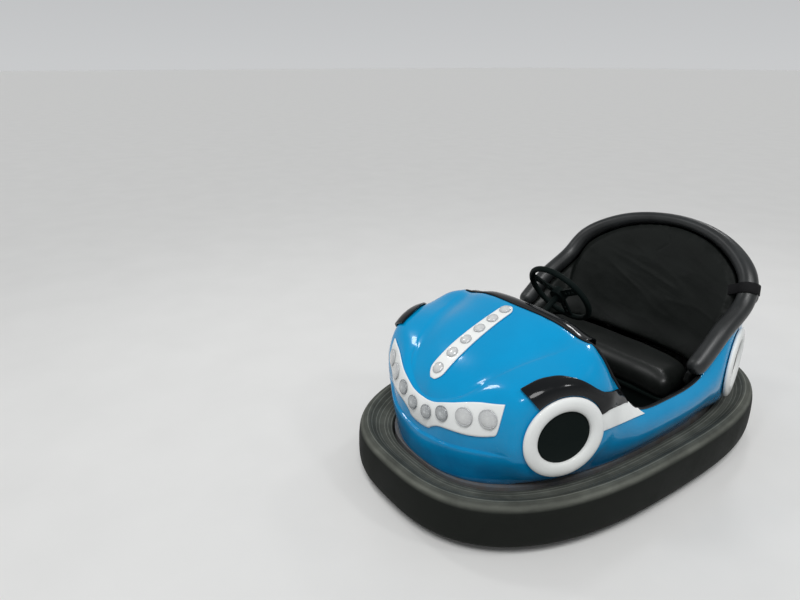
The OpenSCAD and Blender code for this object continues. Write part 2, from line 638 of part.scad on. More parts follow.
// Rim of the backrest, just inside the body's edge
seat_s0 = 9.16;
function roll_at(s) = mix(40, 27, ease((s - 11.5) / 2.5));
function rim_frame(s) =
    let (e = 0.05, a = smooth(form, s + 1)[0], along = unit(edge_point(smooth(form, s + 1 + e))
            - edge_point(smooth(form, s + 1 - e))),
        flat = [1.2 * sin(a), -cos(a), 0.05], out = unit(flat - (flat * along) * along))
    [out, cross(out, along)];
function rim_point(s) = let (q = rim_frame(s), r = roll_at(s),
    p = side(s, 1) - (shell_t / 2 + 0.55 * r) * q[0] + (0.87 * r + 1.5) * q[1])
    s >= last_s - 0.01 ? [0, p.y, p.z] : p;
// Foot of the backrest: a plan curve round the cushion's sides and back
function foot_point(s) = let (a = 90 + 90 * (s - seat_s0) / (last_s - seat_s0),
    wide_y = seat_y + seat_wide, q = oval(bench_rear - 30 - wide_y, (cushion_w + 18) * kx, 3, a))
    [q.x, wide_y + q.y, seat_z - 30];

back_front = 0.35;
function back_line(s, d) =
    let (r = rim_point(s), f = foot_point(s), down = f - r,
        along = unit(rim_point(min(s + 0.05, last_s)) - rim_point(s - 0.05)),
        n = unit(down - (down * along) * along), top = r + (roll_at(s) + 1.2) * n)
    [for (j = [0:6])
        let (k = j / 6, p = mix(f, top, k), o = [p.x, 0.9 * max(p.y - 200, 0), 0],
            face = unit(o - (o * n) * n))
        p + face * (d - 12 * sin(180 * k))];
module seat_back() {
    cols = [for (k = [-26:26]) k / 26];
    function at_k(k, d) = let (s = mix(last_s, seat_s0, abs(k)), l = back_line(s, d))
        [for (p = l) [k < 0 ? -p.x : p.x, p.y, p.z]];
    color(vinyl) slab([for (k = cols) at_k(k, -back_front * back_t)],
        [for (k = cols) at_k(k, 0.3 * back_t)]);
}

module seat_edge_roll() {
    cols = [for (k = [-30:30]) k / 30];
    function at_k(k) = mix(last_s, seat_s0, abs(k));
    path = [for (k = cols) let (p = rim_point(at_k(k))) k < 0 ? flip(p) : p];
    n = len(path);
    rings = [for (i = [0:n - 1])
        let (r = roll_at(at_k(cols[i])), d = unit(path[min(i + 1, n - 1)] - path[max(i - 1, 0)]),
            u = unit(cross(d, [0, 0, 1])), v = cross(d, u))
        [for (k = [0:11]) path[i] + r * (cos(30 * k) * u + sin(30 * k) * v)]];
    color("#33373a") swept(rings);
}

// Belt that lies on the pad and over the left rim, and the reel it comes from
belt_s = 11.5;
belt_w = 46;
belt_t = 3;
module seat_belt() {
    c = rim_point(belt_s);
    along = unit(rim_point(belt_s + 0.1) - rim_point(belt_s - 0.1));
    out = unit(cross([along.x, along.y, 0], [0, 0, 1]));
    up = cross(out, along);
    r = roll_at(belt_s) + 2;
    pad = back_line(belt_s, -back_front * back_t - belt_t);
    // Path as place and outward direction, in the plane across the rim
    arc = [for (a = [8:16:168]) let (n = [cos(a), sin(a)]) [r * n, n]];
    lower = [for (q = [pad[5], pad[4]]) [[(q - c) * out, (q - c) * up], [-0.96, 0.28]]];
    rows = concat(arc, lower);
    n = len(rows);
    color(black) multmatrix([[out.x, up.x, along.x, c.x], [out.y, up.y, along.y, c.y],
            [out.z, up.z, along.z, c.z], [0, 0, 0, 1]])
        linear_extrude(belt_w, center = true) polygon(concat([for (q = rows) q[0]],
            [for (k = [n - 1:-1:0]) rows[k][0] + belt_t * rows[k][1]]));
}
reel_s = 11.8;
reel_t = 0.9;
reel_lift = 2.6;
reel_r = 42;
reel_h = 34;
module belt_reel() color(black) lens(on_side(reel_s, reel_t, reel_lift),
    unit(on_side(reel_s, reel_t, 2) - on_side(reel_s, reel_t, 1)), reel_r, reel_h);

// Two batteries under the bench, as plain blocks
battery_w = 170;
battery_l = 230;
battery_gap = 130;
battery_y = 190;
battery_room = 30;
module battery_pack() color("#2b2d2f") for (f = [0, 1]) mirror([f, 0, 0])
    translate([battery_gap / 2, battery_y, floor_top + fit])
        cube([battery_w, battery_l, bench_z - floor_top - battery_room]);

// Pedal: a base plate and a leaning tread
pedal_w = 70;
pedal_lean = 22;
pedal_l = 110;
pedal_t = 8;
pedal_at = [130, -330];
module accelerator_pedal() color(steel) translate([pedal_at.x, pedal_at.y, floor_top + fit]) {
    cube([pedal_w, pedal_l - 20, pedal_t - 2]);
    translate([5, 0, 0]) rotate([pedal_lean, 0, 0]) cube([pedal_w - 10, pedal_l, pedal_t]);
}

// Steering: the column runs down and forward to the bevel gearbox over the drive unit
column_top = [0, hand_y, hand_z];
gear_y = drive_y;
column_l = (hand_y - gear_y) / sin(column_lean) - 30;
gear_z = hand_z - (hand_y - gear_y) / tan(column_lean);
module on_column() translate(column_top) rotate([-column_lean, 0, 0]) children();
module rod(a, b, r) let (d = b - a) translate(a)
    rotate([0, acos(d.z / norm(d)), atan2(d.y, d.x)]) cylinder(r = r, h = norm(d));

column_stop = 6;
module steering_column() color(steel) on_column() translate([0, 0, -column_l])
    cylinder(r = column_r, h = column_l - column_stop);
// Hub and three spokes with holes
hand_hub_r = 34;
hand_hub_h = 34;
spoke_w = 34;
spoke_t = 8;
spoke_from = 28;
hole_r = 8;
hole_step = 26;
module steering_wheel() color(black) on_column() {
    rotate_extrude($fn = 72) translate([hand_r, 0]) circle(r = hand_grip, $fn = 24);
    difference() {
        translate([0, 0, 12 - hand_hub_h]) cylinder(r = hand_hub_r, h = hand_hub_h);
        translate([0, 0, -column_stop - hand_hub_h]) cylinder(r = column_r, h = hand_hub_h);
    }
    for (a = [90, 210, 330]) rotate([0, 0, a]) translate([spoke_from, 0, -6]) difference() {
        translate([0, -spoke_w / 2, 0]) cube([hand_r - spoke_from - 2, spoke_w, spoke_t]);
        for (k = [1:3]) translate([k * hole_step, 0, -1]) cylinder(r = hole_r, h = spoke_t + 2);
    }
}

// Bush that carries the column, on two legs that stand on the floor
bush_at = 185;
bush_l = 70;
bush_wall = 12;
leg_r = 10;
leg_x = 70;
leg_y = drive_y + drive_gap;
leg_pad = [60, 40, 6];
module column_bracket() color(steel) {
    c = column_top - bush_at * [0, sin(column_lean), cos(column_lean)];
    difference() {
        union() {
            on_column() translate([0, 0, -bush_at - bush_l / 2])
                cylinder(r = column_r + bush_wall, h = bush_l);
            for (x = [-1, 1])
                rod([x * leg_r, c.y, c.z], [x * leg_x, leg_y, floor_top + leg_pad.z / 2], leg_r);
        }
        on_column() translate([0, 0, -bush_at - bush_l]) cylinder(r = column_r + run, h = 2 * bush_l);
    }
    for (x = [-1, 1])
        translate([x * leg_x - leg_pad.x / 2, leg_y - leg_pad.y / 2, floor_top + fit]) cube(leg_pad);
}

// Bevel gearbox on a neck over the head plate's boss
gear_w = 96;
neck_r = 40;
shaft_r = 17;
shaft_room = 5;
module steering_gearbox() color("#5d6266") difference() {
    union() {
        translate([-gear_w / 2, gear_y - gear_w / 2, gear_z - gear_w / 2]) cube([gear_w, gear_w, gear_w]);
        translate([0, gear_y, head_z + boss_high + fit])
            cylinder(r = neck_r, h = gear_z - head_z - boss_high - gear_w / 4);
    }
    on_column() translate([0, 0, -column_l - 2]) cylinder(r = column_r + run, h = column_l);
    translate([0, gear_y, head_z]) cylinder(r = shaft_r + shaft_room, h = gear_z - head_z - 20);
}

// Drive unit that swivels on a vertical axis
fork_z = head_z - boss_low - fit;
crown_r = 60;
crown_t = 12;
arm_t = 10;
arm_l = 60;
arm_at = drive_w / 2 + 12;
arm_low = 20;
stub_r = 9;
motor_r = 50;
motor_l = 90;
drive_tyre_t = 22;
module drive_fork() color("#5d6266") {
    translate([0, drive_y, fork_z - 10])
        cylinder(r = king_r - run, h = head_z + boss_high - fork_z + 10);
    translate([0, drive_y, fork_z - 10]) cylinder(r = shaft_r, h = gear_z - fork_z - 20);
    translate([0, drive_y, fork_z - crown_t]) cylinder(r = crown_r, h = crown_t);
    for (x = [-1, 1]) translate([x * arm_at - arm_t / 2, drive_y - arm_l / 2, drive_r - arm_low])
        cube([arm_t, arm_l, fork_z - crown_t / 2 - drive_r + arm_low]);
    translate([-arm_at, drive_y, drive_r]) rotate([0, 90, 0]) cylinder(r = stub_r, h = 2 * arm_at);
}
module drive_motor() color("#3a3d40") translate([arm_at + arm_t / 2 + fit, drive_y, drive_r])
    rotate([0, 90, 0]) cylinder(r = motor_r, h = motor_l);
module drive_hub() color(steel) translate([-drive_w / 2, drive_y, drive_r]) rotate([0, 90, 0])
    difference() {
        cylinder(r = drive_r - drive_tyre_t, h = drive_w);
        translate([0, 0, -1]) cylinder(r = stub_r + run, h = drive_w + 2);
    }
module drive_tyre() color(rubber) translate([-drive_w / 2, drive_y, drive_r]) rotate([0, 90, 0])
    difference() {
        cylinder(r = drive_r, h = drive_w);
        translate([0, 0, -1]) cylinder(r = drive_r - drive_tyre_t, h = drive_w + 2);
    }

// Rear axle: a beam under the rails with a stub and a collar for each wheel
axle_w = 36;
collar_r = 15;
collar_t = 5;
rear_tyre_t = 18;
module rear_axle() color(steel) {
    beam = rear_track - rear_w - 16;
    translate([-beam / 2, rear_y - axle_w / 2, rear_r - axle_w / 2])
        cube([beam, axle_w, chassis_z - fit - rear_r + axle_w / 2]);
    for (x = [-1, 1]) translate([x * rear_track / 2, rear_y, rear_r]) rotate([0, x * 90, 0]) {
        translate([0, 0, -rear_w / 2 - 10]) cylinder(r = stub_r, h = rear_w + 16);
        translate([0, 0, rear_w / 2 + 2]) cylinder(r = collar_r, h = collar_t);
    }
}
module rear_hub(f) color(steel) translate([f * rear_track / 2, rear_y, rear_r]) rotate([0, 90, 0])
    difference() {
        cylinder(r = rear_r - rear_tyre_t, h = rear_w, center = true);
        cylinder(r = stub_r + run, h = rear_w + 2, center = true);
    }
module rear_tyre(f) color(rubber) translate([f * rear_track / 2, rear_y, rear_r]) rotate([0, 90, 0])
    difference() {
        cylinder(r = rear_r, h = rear_w, center = true);
        cylinder(r = rear_r - rear_tyre_t, h = rear_w + 2, center = true);
    }

bumper_tyre();
bumper_band();
chassis_frame();
floor_pan();
body_shell();
side_liner(1);  // side_liner_left
side_liner(-1);  // side_liner_right
dash_cowl();
bonnet_edge_trim();
light_band();
bonnet_strip();
lamp_lenses();
arch_trim(1);  // arch_trim_left
arch_trim(-1);  // arch_trim_right
wheel_ring(front_seat, 1);  // front_ring_left
wheel_ring(front_seat, -1);  // front_ring_right
wheel_disc(front_seat, 1);  // front_disc_left
wheel_disc(front_seat, -1);  // front_disc_right
wheel_ring(rear_seat, 1);  // rear_ring_left
wheel_ring(rear_seat, -1);  // rear_ring_right
wheel_disc(rear_seat, 1);  // rear_disc_left
wheel_disc(rear_seat, -1);  // rear_disc_right
sill_blade(1);  // sill_blade_left
sill_blade(-1);  // sill_blade_right
seat_base();
seat_cushion();
seat_back();
seat_edge_roll();
seat_belt();
belt_reel();
battery_pack();
accelerator_pedal();
column_bracket();
steering_gearbox();
steering_column();
steering_wheel();
drive_fork();
drive_motor();
drive_hub();
drive_tyre();
rear_axle();
rear_hub(1);  // rear_hub_left
rear_hub(-1);  // rear_hub_right
rear_tyre(1);  // rear_tyre_left
rear_tyre(-1);  // rear_tyre_right
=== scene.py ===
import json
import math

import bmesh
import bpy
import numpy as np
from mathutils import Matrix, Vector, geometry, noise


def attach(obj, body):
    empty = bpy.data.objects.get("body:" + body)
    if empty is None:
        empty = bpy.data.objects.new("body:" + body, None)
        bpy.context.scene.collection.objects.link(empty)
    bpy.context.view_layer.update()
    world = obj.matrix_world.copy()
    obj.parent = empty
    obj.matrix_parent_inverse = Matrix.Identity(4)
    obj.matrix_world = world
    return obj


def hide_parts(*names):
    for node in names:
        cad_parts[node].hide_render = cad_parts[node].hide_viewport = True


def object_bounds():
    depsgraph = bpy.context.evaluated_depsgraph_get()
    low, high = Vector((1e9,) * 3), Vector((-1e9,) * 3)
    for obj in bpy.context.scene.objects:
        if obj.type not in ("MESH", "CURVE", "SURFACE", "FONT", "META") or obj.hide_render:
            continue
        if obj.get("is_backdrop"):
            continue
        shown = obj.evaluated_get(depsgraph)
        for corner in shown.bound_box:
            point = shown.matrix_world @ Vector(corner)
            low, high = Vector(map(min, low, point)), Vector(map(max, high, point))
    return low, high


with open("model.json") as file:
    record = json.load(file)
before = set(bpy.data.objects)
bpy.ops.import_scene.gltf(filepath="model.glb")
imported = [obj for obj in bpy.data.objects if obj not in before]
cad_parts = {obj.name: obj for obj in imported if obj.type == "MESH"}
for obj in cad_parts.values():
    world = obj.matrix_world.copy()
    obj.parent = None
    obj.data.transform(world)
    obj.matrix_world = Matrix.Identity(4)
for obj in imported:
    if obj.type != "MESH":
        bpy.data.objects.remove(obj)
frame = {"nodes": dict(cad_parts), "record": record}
cad_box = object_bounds()

# %% [markdown]
# # A two-seat bumper car
# The car is a moulded shell with a high gloss, standing in a fat rubber ring. The construction
# model is exact, but its curved skins are made of flat facets. Here each such skin is copied,
# its facets are joined to four-sided faces and a Subdivision Surface modifier rounds them. Round
# pieces are spun anew, and the padded seat is blown up by a cloth simulation. The frame, the
# floor pan and the drive unit keep their construction shapes and only get a finish.

MM = 0.001
nodes = frame["nodes"]

# %% [markdown]
# ## Shader maths as plain sums
# A material is a graph of nodes. To keep it readable, a socket is wrapped in a small class, so
# that `dust * 0.3 + 0.1` adds the Math nodes by itself. The reflected forms, such as
# `__rsub__`, make `1 - mask` work too.

# %% Sockets that can be added and multiplied
class Value:
    def __init__(self, finish, socket):
        self.finish, self.socket = finish, socket

    def maths(self, operation, first, second):
        return self.finish.maths(operation, first, second)

    def __add__(self, other):
        return self.maths("ADD", self, other)

    def __radd__(self, other):
        return self.maths("ADD", other, self)

    def __sub__(self, other):
        return self.maths("SUBTRACT", self, other)

    def __rsub__(self, other):
        return self.maths("SUBTRACT", other, self)

    def __mul__(self, other):
        return self.maths("MULTIPLY", self, other)

    def __rmul__(self, other):
        return self.maths("MULTIPLY", other, self)

    def __pow__(self, other):
        return self.maths("POWER", self, other)


# %% [markdown]
# ## A finish and its nodes
# Every finish starts from the Principled shader. What is the same all over is set on the
# shader's own sockets, and what varies is fed to it. The patterns read the piece's own
# coordinates or a number that the piece carries, so they stay in place when a wheel turns.

# %% One finish: a material and its nodes
class Finish:
    def __init__(self, name, **constants):
        self.material = bpy.data.materials.new(name)
        self.material.use_nodes = True
        self.tree = self.material.node_tree
        self.shader = self.tree.nodes["Principled BSDF"]
        for socket, amount in constants.items():
            self.shader.inputs[socket.replace("_", " ")].default_value = amount
        self.place = self.node("ShaderNodeTexCoord", out="Object")

    def node(self, kind, settings=None, inputs=None, out=0):
        made = self.tree.nodes.new(kind)
        for key, setting in (settings or {}).items():
            if key == "stops":
                self.set_stops(made.color_ramp.elements, setting)
            else:
                setattr(made, key, setting)
        for key, amount in (inputs or {}).items():
            if isinstance(amount, Value):
                self.tree.links.new(amount.socket, made.inputs[key])
            else:
                made.inputs[key].default_value = amount
        return Value(self, made.outputs[out])

    def set_stops(self, elements, stops):
        # A new ramp already has two stops
        for number, (where, colour) in enumerate(stops):
            stop = elements[number] if number < 2 else elements.new(where)
            stop.position, stop.color = where, colour

    def maths(self, operation, first, second):
        return self.node("ShaderNodeMath", {"operation": operation}, {0: first, 1: second})

    def feed(self, socket, value):
        self.tree.links.new(value.socket, self.shader.inputs[socket])

    def noise(self, scale, detail, rough=0.5, at=None):
        return self.node("ShaderNodeTexNoise", None, {"Vector": at or self.place,
            "Scale": scale, "Detail": detail, "Roughness": rough}, "Fac")

    def cells(self, scale):
        return self.node("ShaderNodeTexVoronoi", {"feature": "F1"}, {"Vector": self.place,
            "Scale": scale}, "Distance")

    def between(self, value, low, high):
        return self.node("ShaderNodeMapRange", None, {"Value": value, "From Min": low,
            "From Max": high})

    def blend(self, share, one, two):
        return self.node("ShaderNodeMix", {"data_type": "RGBA"}, {0: share, 6: one, 7: two}, 2)

    def stretched(self, x, y, z):
        return self.node("ShaderNodeMapping", None, {"Vector": self.place, "Scale": (x, y, z)})

    def axis(self, name, of=None):
        return self.node("ShaderNodeSeparateXYZ", None, {0: of or self.place}, name)

    def carried(self, name):
        return self.node("ShaderNodeAttribute", {"attribute_name": name}, out="Fac")

    def bump(self, height, strength, distance):
        return self.node("ShaderNodeBump", None, {"Height": height, "Strength": strength,
            "Distance": distance}, "Normal")


def tint(red, green, blue):
    return (red, green, blue, 1.0)


# %% [markdown]
# ## Glossy mouldings
# The shell is a gel coat: one deep blue under a clear gloss, with fine scuffs where the gloss
# is dull and a little random dirt. Painted shade takes it towards a darker blue low down. A
# picture laid on it would stretch over the curves, so the scuffs and the dirt come from noise,
# and the painted shade from the height. The white and the black mouldings are the same idea in
# other colours, so one function makes them all.

# %% Glossy mouldings
# The height at which the painted shade starts and the one where it is full, in metres over the
# floor
SHADE_TOP, SHADE_FULL = 0.40, 0.25


def moulding(name, colour, dirt_and_shade_colour, gloss=0.16, coat=0.6, hidden=None):
    finish = Finish(name, Coat_Weight=coat, Coat_Roughness=0.05, Coat_IOR=1.36,
        Specular_IOR_Level=0.1 if coat else 0.05)
    cloud = finish.between(finish.noise(5.0, 6.0, 0.6), 0.35, 0.7)
    fine = finish.noise(60.0, 4.0, 0.7, finish.stretched(1, 0.15, 1))
    scratch = finish.between(fine, 0.55, 0.75)
    # Painted shade: the height mask turns each moulding towards its second colour low down
    low = finish.between(finish.axis("Z"), SHADE_TOP, SHADE_FULL)
    dirt_and_shade = cloud * 0.10 + low * (cloud * 0.3 + 0.4)
    paint = finish.blend(dirt_and_shade, tint(*colour), tint(*dirt_and_shade_colour))
    if hidden:
        paint = finish.blend(finish.carried("inside"), paint, tint(*hidden))
    finish.feed("Base Color", paint)
    finish.feed("Roughness", cloud * 0.08 + scratch * 0.105 + gloss)
    finish.feed("Normal", finish.bump(finish.noise(34.0, 2.0), 0.15, 0.002))
    return finish.material


# The second colour of each moulding is its dirt and, low down, its painted shade
finishes = {
    "blue_shell": moulding("blue_gel_coat", (0.0008, 0.31, 0.63), (0.001, 0.085, 0.235),
        hidden=(0.004, 0.005, 0.006)),
    "white_gloss": moulding("white_moulding", (0.90, 0.92, 0.91), (0.50, 0.51, 0.48), 0.25, 0.3),
    "black_gloss": moulding("black_moulding", (0.006, 0.007, 0.008), (0.03, 0.03, 0.03), 0.14,
        0.5),
    "black_matte": moulding("black_matte_moulding", (0.004, 0.0075, 0.007),
        (0.012, 0.016, 0.015), 0.5, 0.0),
    "lamp_lens": moulding("grey_lens", (0.50, 0.53, 0.54), (0.30, 0.31, 0.31), 0.12, 1.0),
}
print("mouldings:", ", ".join(finishes))

# %% [markdown]
# ## Rubber
# The big ring is black rubber that dust turns grey where it faces up, and fine lines run round
# it. A picture of those lines would need the ring unwrapped. Instead each of its points
# carries its inset, which is how far it lies in from the outer face, and a narrow sine wave of
# that number draws them. Between the outer face and the lines runs a painted highlight, a
# paler band where the rounded edge would catch the light.

# %% Rubber, with dust on what faces up
# Turns of the wave in radians for each metre of inset, and where the lines and the painted edge
# highlight fade in and out, in metres of inset
LINE_WAVE = 400.0
LINES_IN = (0.022, 0.034)
EDGE_HIGHLIGHT_IN, EDGE_HIGHLIGHT_OUT = (0.005, 0.010), (0.021, 0.014)


def with_lines_and_highlight(finish, dust_and_highlight, relief, streak):
    inset = finish.carried("inset")
    wave = finish.maths("SINE", inset * LINE_WAVE, 0.0) * 0.5 + 0.5
    line = wave ** 10.0 * finish.between(inset, *LINES_IN)
    # Painted highlight: a paler band beside the outer face, where the rounded edge would catch
    # light
    painted_edge_highlight = finish.between(inset, *EDGE_HIGHLIGHT_IN) * finish.between(inset, *EDGE_HIGHLIGHT_OUT)
    return dust_and_highlight * (line + 0.65) + painted_edge_highlight * (streak * 0.25 + 0.3), relief - line * 3.0


def rubbery(name, colour, dust_and_highlight_colour, dust, lined=False):
    finish = Finish(name, Specular_IOR_Level=0.1)
    up = finish.axis("Z", finish.node("ShaderNodeTexCoord", out="Normal"))
    patch = finish.between(finish.noise(9.0, 8.0, 0.65), 0.38, 0.68)
    streaks = finish.noise(26.0, 5.0, 0.6, finish.stretched(0.25, 0.25, 1))
    streak = finish.between(streaks, 0.4, 0.7)
    settled = patch * 0.25 + streak * 0.3 + 0.45
    dust_and_highlight = finish.between(up, 0.25, 0.95) * settled * dust + patch * dust * 0.04
    relief = finish.noise(420.0, 3.0) * 0.3
    if lined:
        dust_and_highlight, relief = with_lines_and_highlight(finish, dust_and_highlight, relief, streak)
    finish.feed("Base Color", finish.blend(dust_and_highlight, tint(*colour), tint(*dust_and_highlight_colour)))
    finish.feed("Roughness", patch * 0.15 + 0.6)
    finish.feed("Normal", finish.bump(relief, 0.3, 0.001))
    return finish.material


# The ring's dust colour also paints its edge highlight
finishes["rubber_ring"] = rubbery("bumper_rubber", (0.0095, 0.0110, 0.0095),
    (0.175, 0.184, 0.160), 0.95, True)
finishes["wheel_rubber"] = rubbery("wheel_rubber", (0.030, 0.030, 0.030), (0.10, 0.10, 0.09),
    0.5)
finishes["edge_rubber"] = rubbery("edging_rubber", (0.012, 0.012, 0.013), (0.08, 0.08, 0.08),
    0.35)
print("rubber: the ring, the wheels and the edging")

# %% [markdown]
# ## Vinyl
# The seat is covered in black vinyl with a pebble grain, and its roll in a greyer one. The
# cells of a Voronoi pattern, about 2 mm wide, give the grain. Where riders rub the pads, low
# down, the skin is smooth and has a soft sheen, so there the shader's coat comes in.

# %% Vinyl with a fine grain
# The height in metres over which the sheen comes in
SHEEN_FADE = 0.1


def vinyl(name, colour, worn, gloss, sheen_top):
    finish = Finish(name, Specular_IOR_Level=0.13, Coat_Roughness=0.38)
    rub = finish.between(finish.noise(7.0, 5.0, 0.6), 0.4, 0.72)
    sheen = finish.between(finish.axis("Z"), sheen_top, sheen_top - SHEEN_FADE)
    finish.feed("Base Color", finish.blend(rub, tint(*colour), tint(*worn)))
    finish.feed("Roughness", rub * 0.14 + gloss)
    finish.feed("Coat Weight", sheen * 0.7)
    finish.feed("Normal", finish.bump(finish.cells(480.0), 0.35, 0.0008))
    return finish.material


finishes["black_vinyl"] = vinyl("black_vinyl", (0.0055, 0.007, 0.0062), (0.010, 0.012, 0.011),
    0.44, 0.50)
finishes["grey_vinyl"] = vinyl("grey_vinyl", (0.010, 0.0115, 0.012), (0.024, 0.027, 0.028),
    0.36, 1.1)
print("vinyl: the pads and the roll")

# %% [markdown]
# ## Webbing
# The belt is woven in fine ribs. A Wave texture across its length gives both the ribs' relief
# and their slightly paler backs.

# %% Woven webbing
weave = Finish("webbing", Roughness=0.75, Specular_IOR_Level=0.1)
threads = weave.node("ShaderNodeTexWave", {"bands_direction": "Z"}, {"Vector": weave.place,
    "Scale": 160.0, "Distortion": 0.4}, "Fac")
weave.feed("Base Color", weave.blend(threads, tint(0.006, 0.006, 0.007),
    tint(0.017, 0.017, 0.018)))
weave.feed("Normal", weave.bump(threads, 0.5, 0.0006))
finishes["webbing"] = weave.material
print(weave.material.name, "has", len(weave.tree.nodes), "nodes")

# %% [markdown]
# ## Metals under the floor
# The frame is painted, the drive unit is cast and the axle is bare steel. All of them are
# stained, and a stain is darker, duller and less like metal, so one mask drives all three.

# %% Metals under the floor
def metal(name, colour, second, rough, metallic, grain):
    finish = Finish(name)
    stain = finish.between(finish.noise(14.0, 6.0, 0.65), 0.42, 0.7)
    finish.feed("Base Color", finish.blend(stain, tint(*colour), tint(*second)))
    finish.feed("Metallic", stain * -0.3 + metallic)
    finish.feed("Roughness", stain * 0.25 + rough)
    finish.feed("Normal", finish.bump(finish.noise(grain, 4.0), 0.3, 0.0008))
    return finish.material


for slot, *looks in [
    ("floor_paint", "floor_paint", (0.035, 0.037, 0.04), (0.07, 0.068, 0.06), 0.5, 0.3, 90.0),
    ("frame_steel", "frame_paint", (0.17, 0.18, 0.19), (0.12, 0.09, 0.07), 0.4, 0.3, 120.0),
    ("drive_casting", "drive_casting", (0.10, 0.105, 0.11), (0.06, 0.055, 0.05), 0.5, 0.6, 200.0),
    ("bare_steel", "bare_steel", (0.13, 0.13, 0.135), (0.07, 0.065, 0.06), 0.3, 1.0, 300.0)]:
    finishes[slot] = metal(*looks)
print(len(finishes), "finishes")

# %% [markdown]
# ## A finish for every construction piece
# The record names a material slot for each piece. The piece gets the finish of its slot, also
# where a smoother piece stands for it later, so that nothing can show without one.

# %% Give the construction pieces their finishes
slot_of = {row["node"]: row["material_slot"] for row in frame["record"]["subparts"]}
for node, slot in slot_of.items():
    nodes[node].data.materials.clear()
    nodes[node].data.materials.append(finishes[slot])
# The column gets the black matte finish instead of its slot's bare steel
nodes["steering_column"].data.materials[0] = finishes["black_matte"]
print(len(slot_of), "pieces have a finish")

# %% [markdown]
# ## From facets to smooth skins
# A copy of a construction piece is loose triangles. Its doubles are merged, pairs of triangles
# become four-sided faces, and edges that turn sharply are creased, so that the subdivision
# rounds the skin and keeps the rims. Drawing each skin anew would take a second set of
# measures, and the two could drift apart.

# %% Tools for pieces
# Two triangles join if they turn by less than the first angle and the corners of the face that
# they make are off square by less than the second
JOIN_UNDER, SHAPE_UNDER = math.radians(60), math.radians(80)
CREASE_HOLD = 0.9


def merged(node):
    mesh = bmesh.new()
    mesh.from_mesh(nodes[node].data)
    bmesh.ops.remove_doubles(mesh, verts=mesh.verts[:], dist=0.02 * MM)
    return mesh


# Every new piece rides on a body, gets the finish of its slot and hides the construction piece it
# stands for
def finished(mesh, name, slot, body="car", replaced=(), levels=0, sharp=None, material=None):
    if sharp:
        for edge in mesh.edges:
            if edge.is_manifold and edge.calc_face_angle() > math.radians(sharp):
                edge.smooth = False
    data = bpy.data.meshes.new(name)
    mesh.to_mesh(data)
    mesh.free()
    data.polygons.foreach_set("use_smooth", [True] * len(data.polygons))
    data.materials.append(material or finishes[slot])
    piece = bpy.data.objects.new(name, data)
    bpy.context.scene.collection.objects.link(piece)
    if levels:
        surface = piece.modifiers.new("rounding", "SUBSURF")
        surface.levels = surface.render_levels = levels
    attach(piece, body)
    if replaced:
        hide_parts(*replaced)
    return piece


def crease(mesh, over):
    layers = mesh.edges.layers.float
    layer = layers.get("crease_edge") or layers.new("crease_edge")
    for edge in mesh.edges:
        if edge.is_manifold and edge.calc_face_angle() > math.radians(over):
            edge[layer] = CREASE_HOLD
    return layer


# `shape` works on the faces before the creases are set, and `crest` after them
def softened(node, over, levels=2, shape=None, crest=None):
    mesh = merged(node)
    bmesh.ops.join_triangles(mesh, faces=mesh.faces[:], angle_face_threshold=JOIN_UNDER,
        angle_shape_threshold=SHAPE_UNDER)
    if shape:
        shape(mesh)
    layer = crease(mesh, over)
    if crest:
        crest(mesh, layer)
    piece = finished(mesh, node + "_skin", slot_of[node], replaced=[node], levels=levels)
    print(piece.name, len(piece.data.polygons), "faces before rounding")
    return piece


# %% [markdown]
# ## The crest of each fender
# On the real shell a soft crest runs from the nose over each fender to the bonnet's rear
# corner. It is raised along a line: the closer a point lies to the line, the more it is
# lifted, and the edges on the line get a half crease, so that the crest stays narrow.

# %% Raise a crest along a line
# From the nose to the bonnet's rear corner on the left side, in metres
FENDER_CREST = [Vector(p) for p in [(0.14, -0.764, 0.489), (0.212, -0.686, 0.555),
    (0.24, -0.635, 0.583), (0.262, -0.576, 0.606), (0.284, -0.512, 0.622),
    (0.304, -0.447, 0.634), (0.327, -0.385, 0.646), (0.352, -0.325, 0.657)]]
CREST_REACH, CREST_LIFT, CREST_HOLD = 12 * MM, 4.2 * MM, 0.8


def point_on(place, a, b):
    share = geometry.intersect_point_line(place, a, b)[1]
    return a + (b - a) * min(max(share, 0.0), 1.0)


# The distance to the line, or to its mirror image on the right side
def from_crest(point):
    place = Vector((abs(point.x), point.y, point.z))
    return min((place - point_on(place, a, b)).length
        for a, b in zip(FENDER_CREST, FENDER_CREST[1:]))


def raise_crest(mesh, layer):
    start, run = FENDER_CREST[0], (FENDER_CREST[0] - FENDER_CREST[-1]).length
    for vert in mesh.verts:
        share = max(0.0, 1 - from_crest(vert.co) / CREST_REACH)
        if share and vert.normal.z > 0:
            along = min(max((start - vert.co).length / run, 0), 1)
            vert.co += vert.normal * CREST_LIFT * min(1.0, 2 * share) * min(1.0, 3 * along)
    found = [edge for edge in mesh.edges
        if all(from_crest(v.co) < CREST_REACH for v in edge.verts)]
    for edge in found:
        edge[layer] = max(edge[layer], CREST_HOLD)
    print(len(found), "edges on the crests")


# %% [markdown]
# ## The ledge under the light band
# Below the light band the nose steps out a little and falls back again. Four cuts a side, two
# on each flank of the step, give the subdivision the edges it needs to keep the ledge crisp.
# Then the points below the cuts are pushed out. A bump in the material would not do, because
# the ledge shows in the outline.

# %% Cut and push out the ledge
# The ledge rises with the distance from the middle, and the nose is round about one point on
# the centre line. Metres, except the cuts, which are in millimetres over and under the ledge
LEDGE_HEIGHT, LEDGE_RISE, LEDGE_ZONE = 0.302, 0.11, 0.09
NOSE_MIDDLE, NOSE_REAR = -0.5, -0.58
LEDGE_CUTS = (7, 1.5, -1.5, -7)
LEDGE_STEP = 10
# It is gone 105 mm below its edge and 0.36 m from the middle, and fades towards both
FADE_END, FADE_LENGTH = 105, 75
SIDE_END, SIDE_LENGTH = 0.36, 0.07


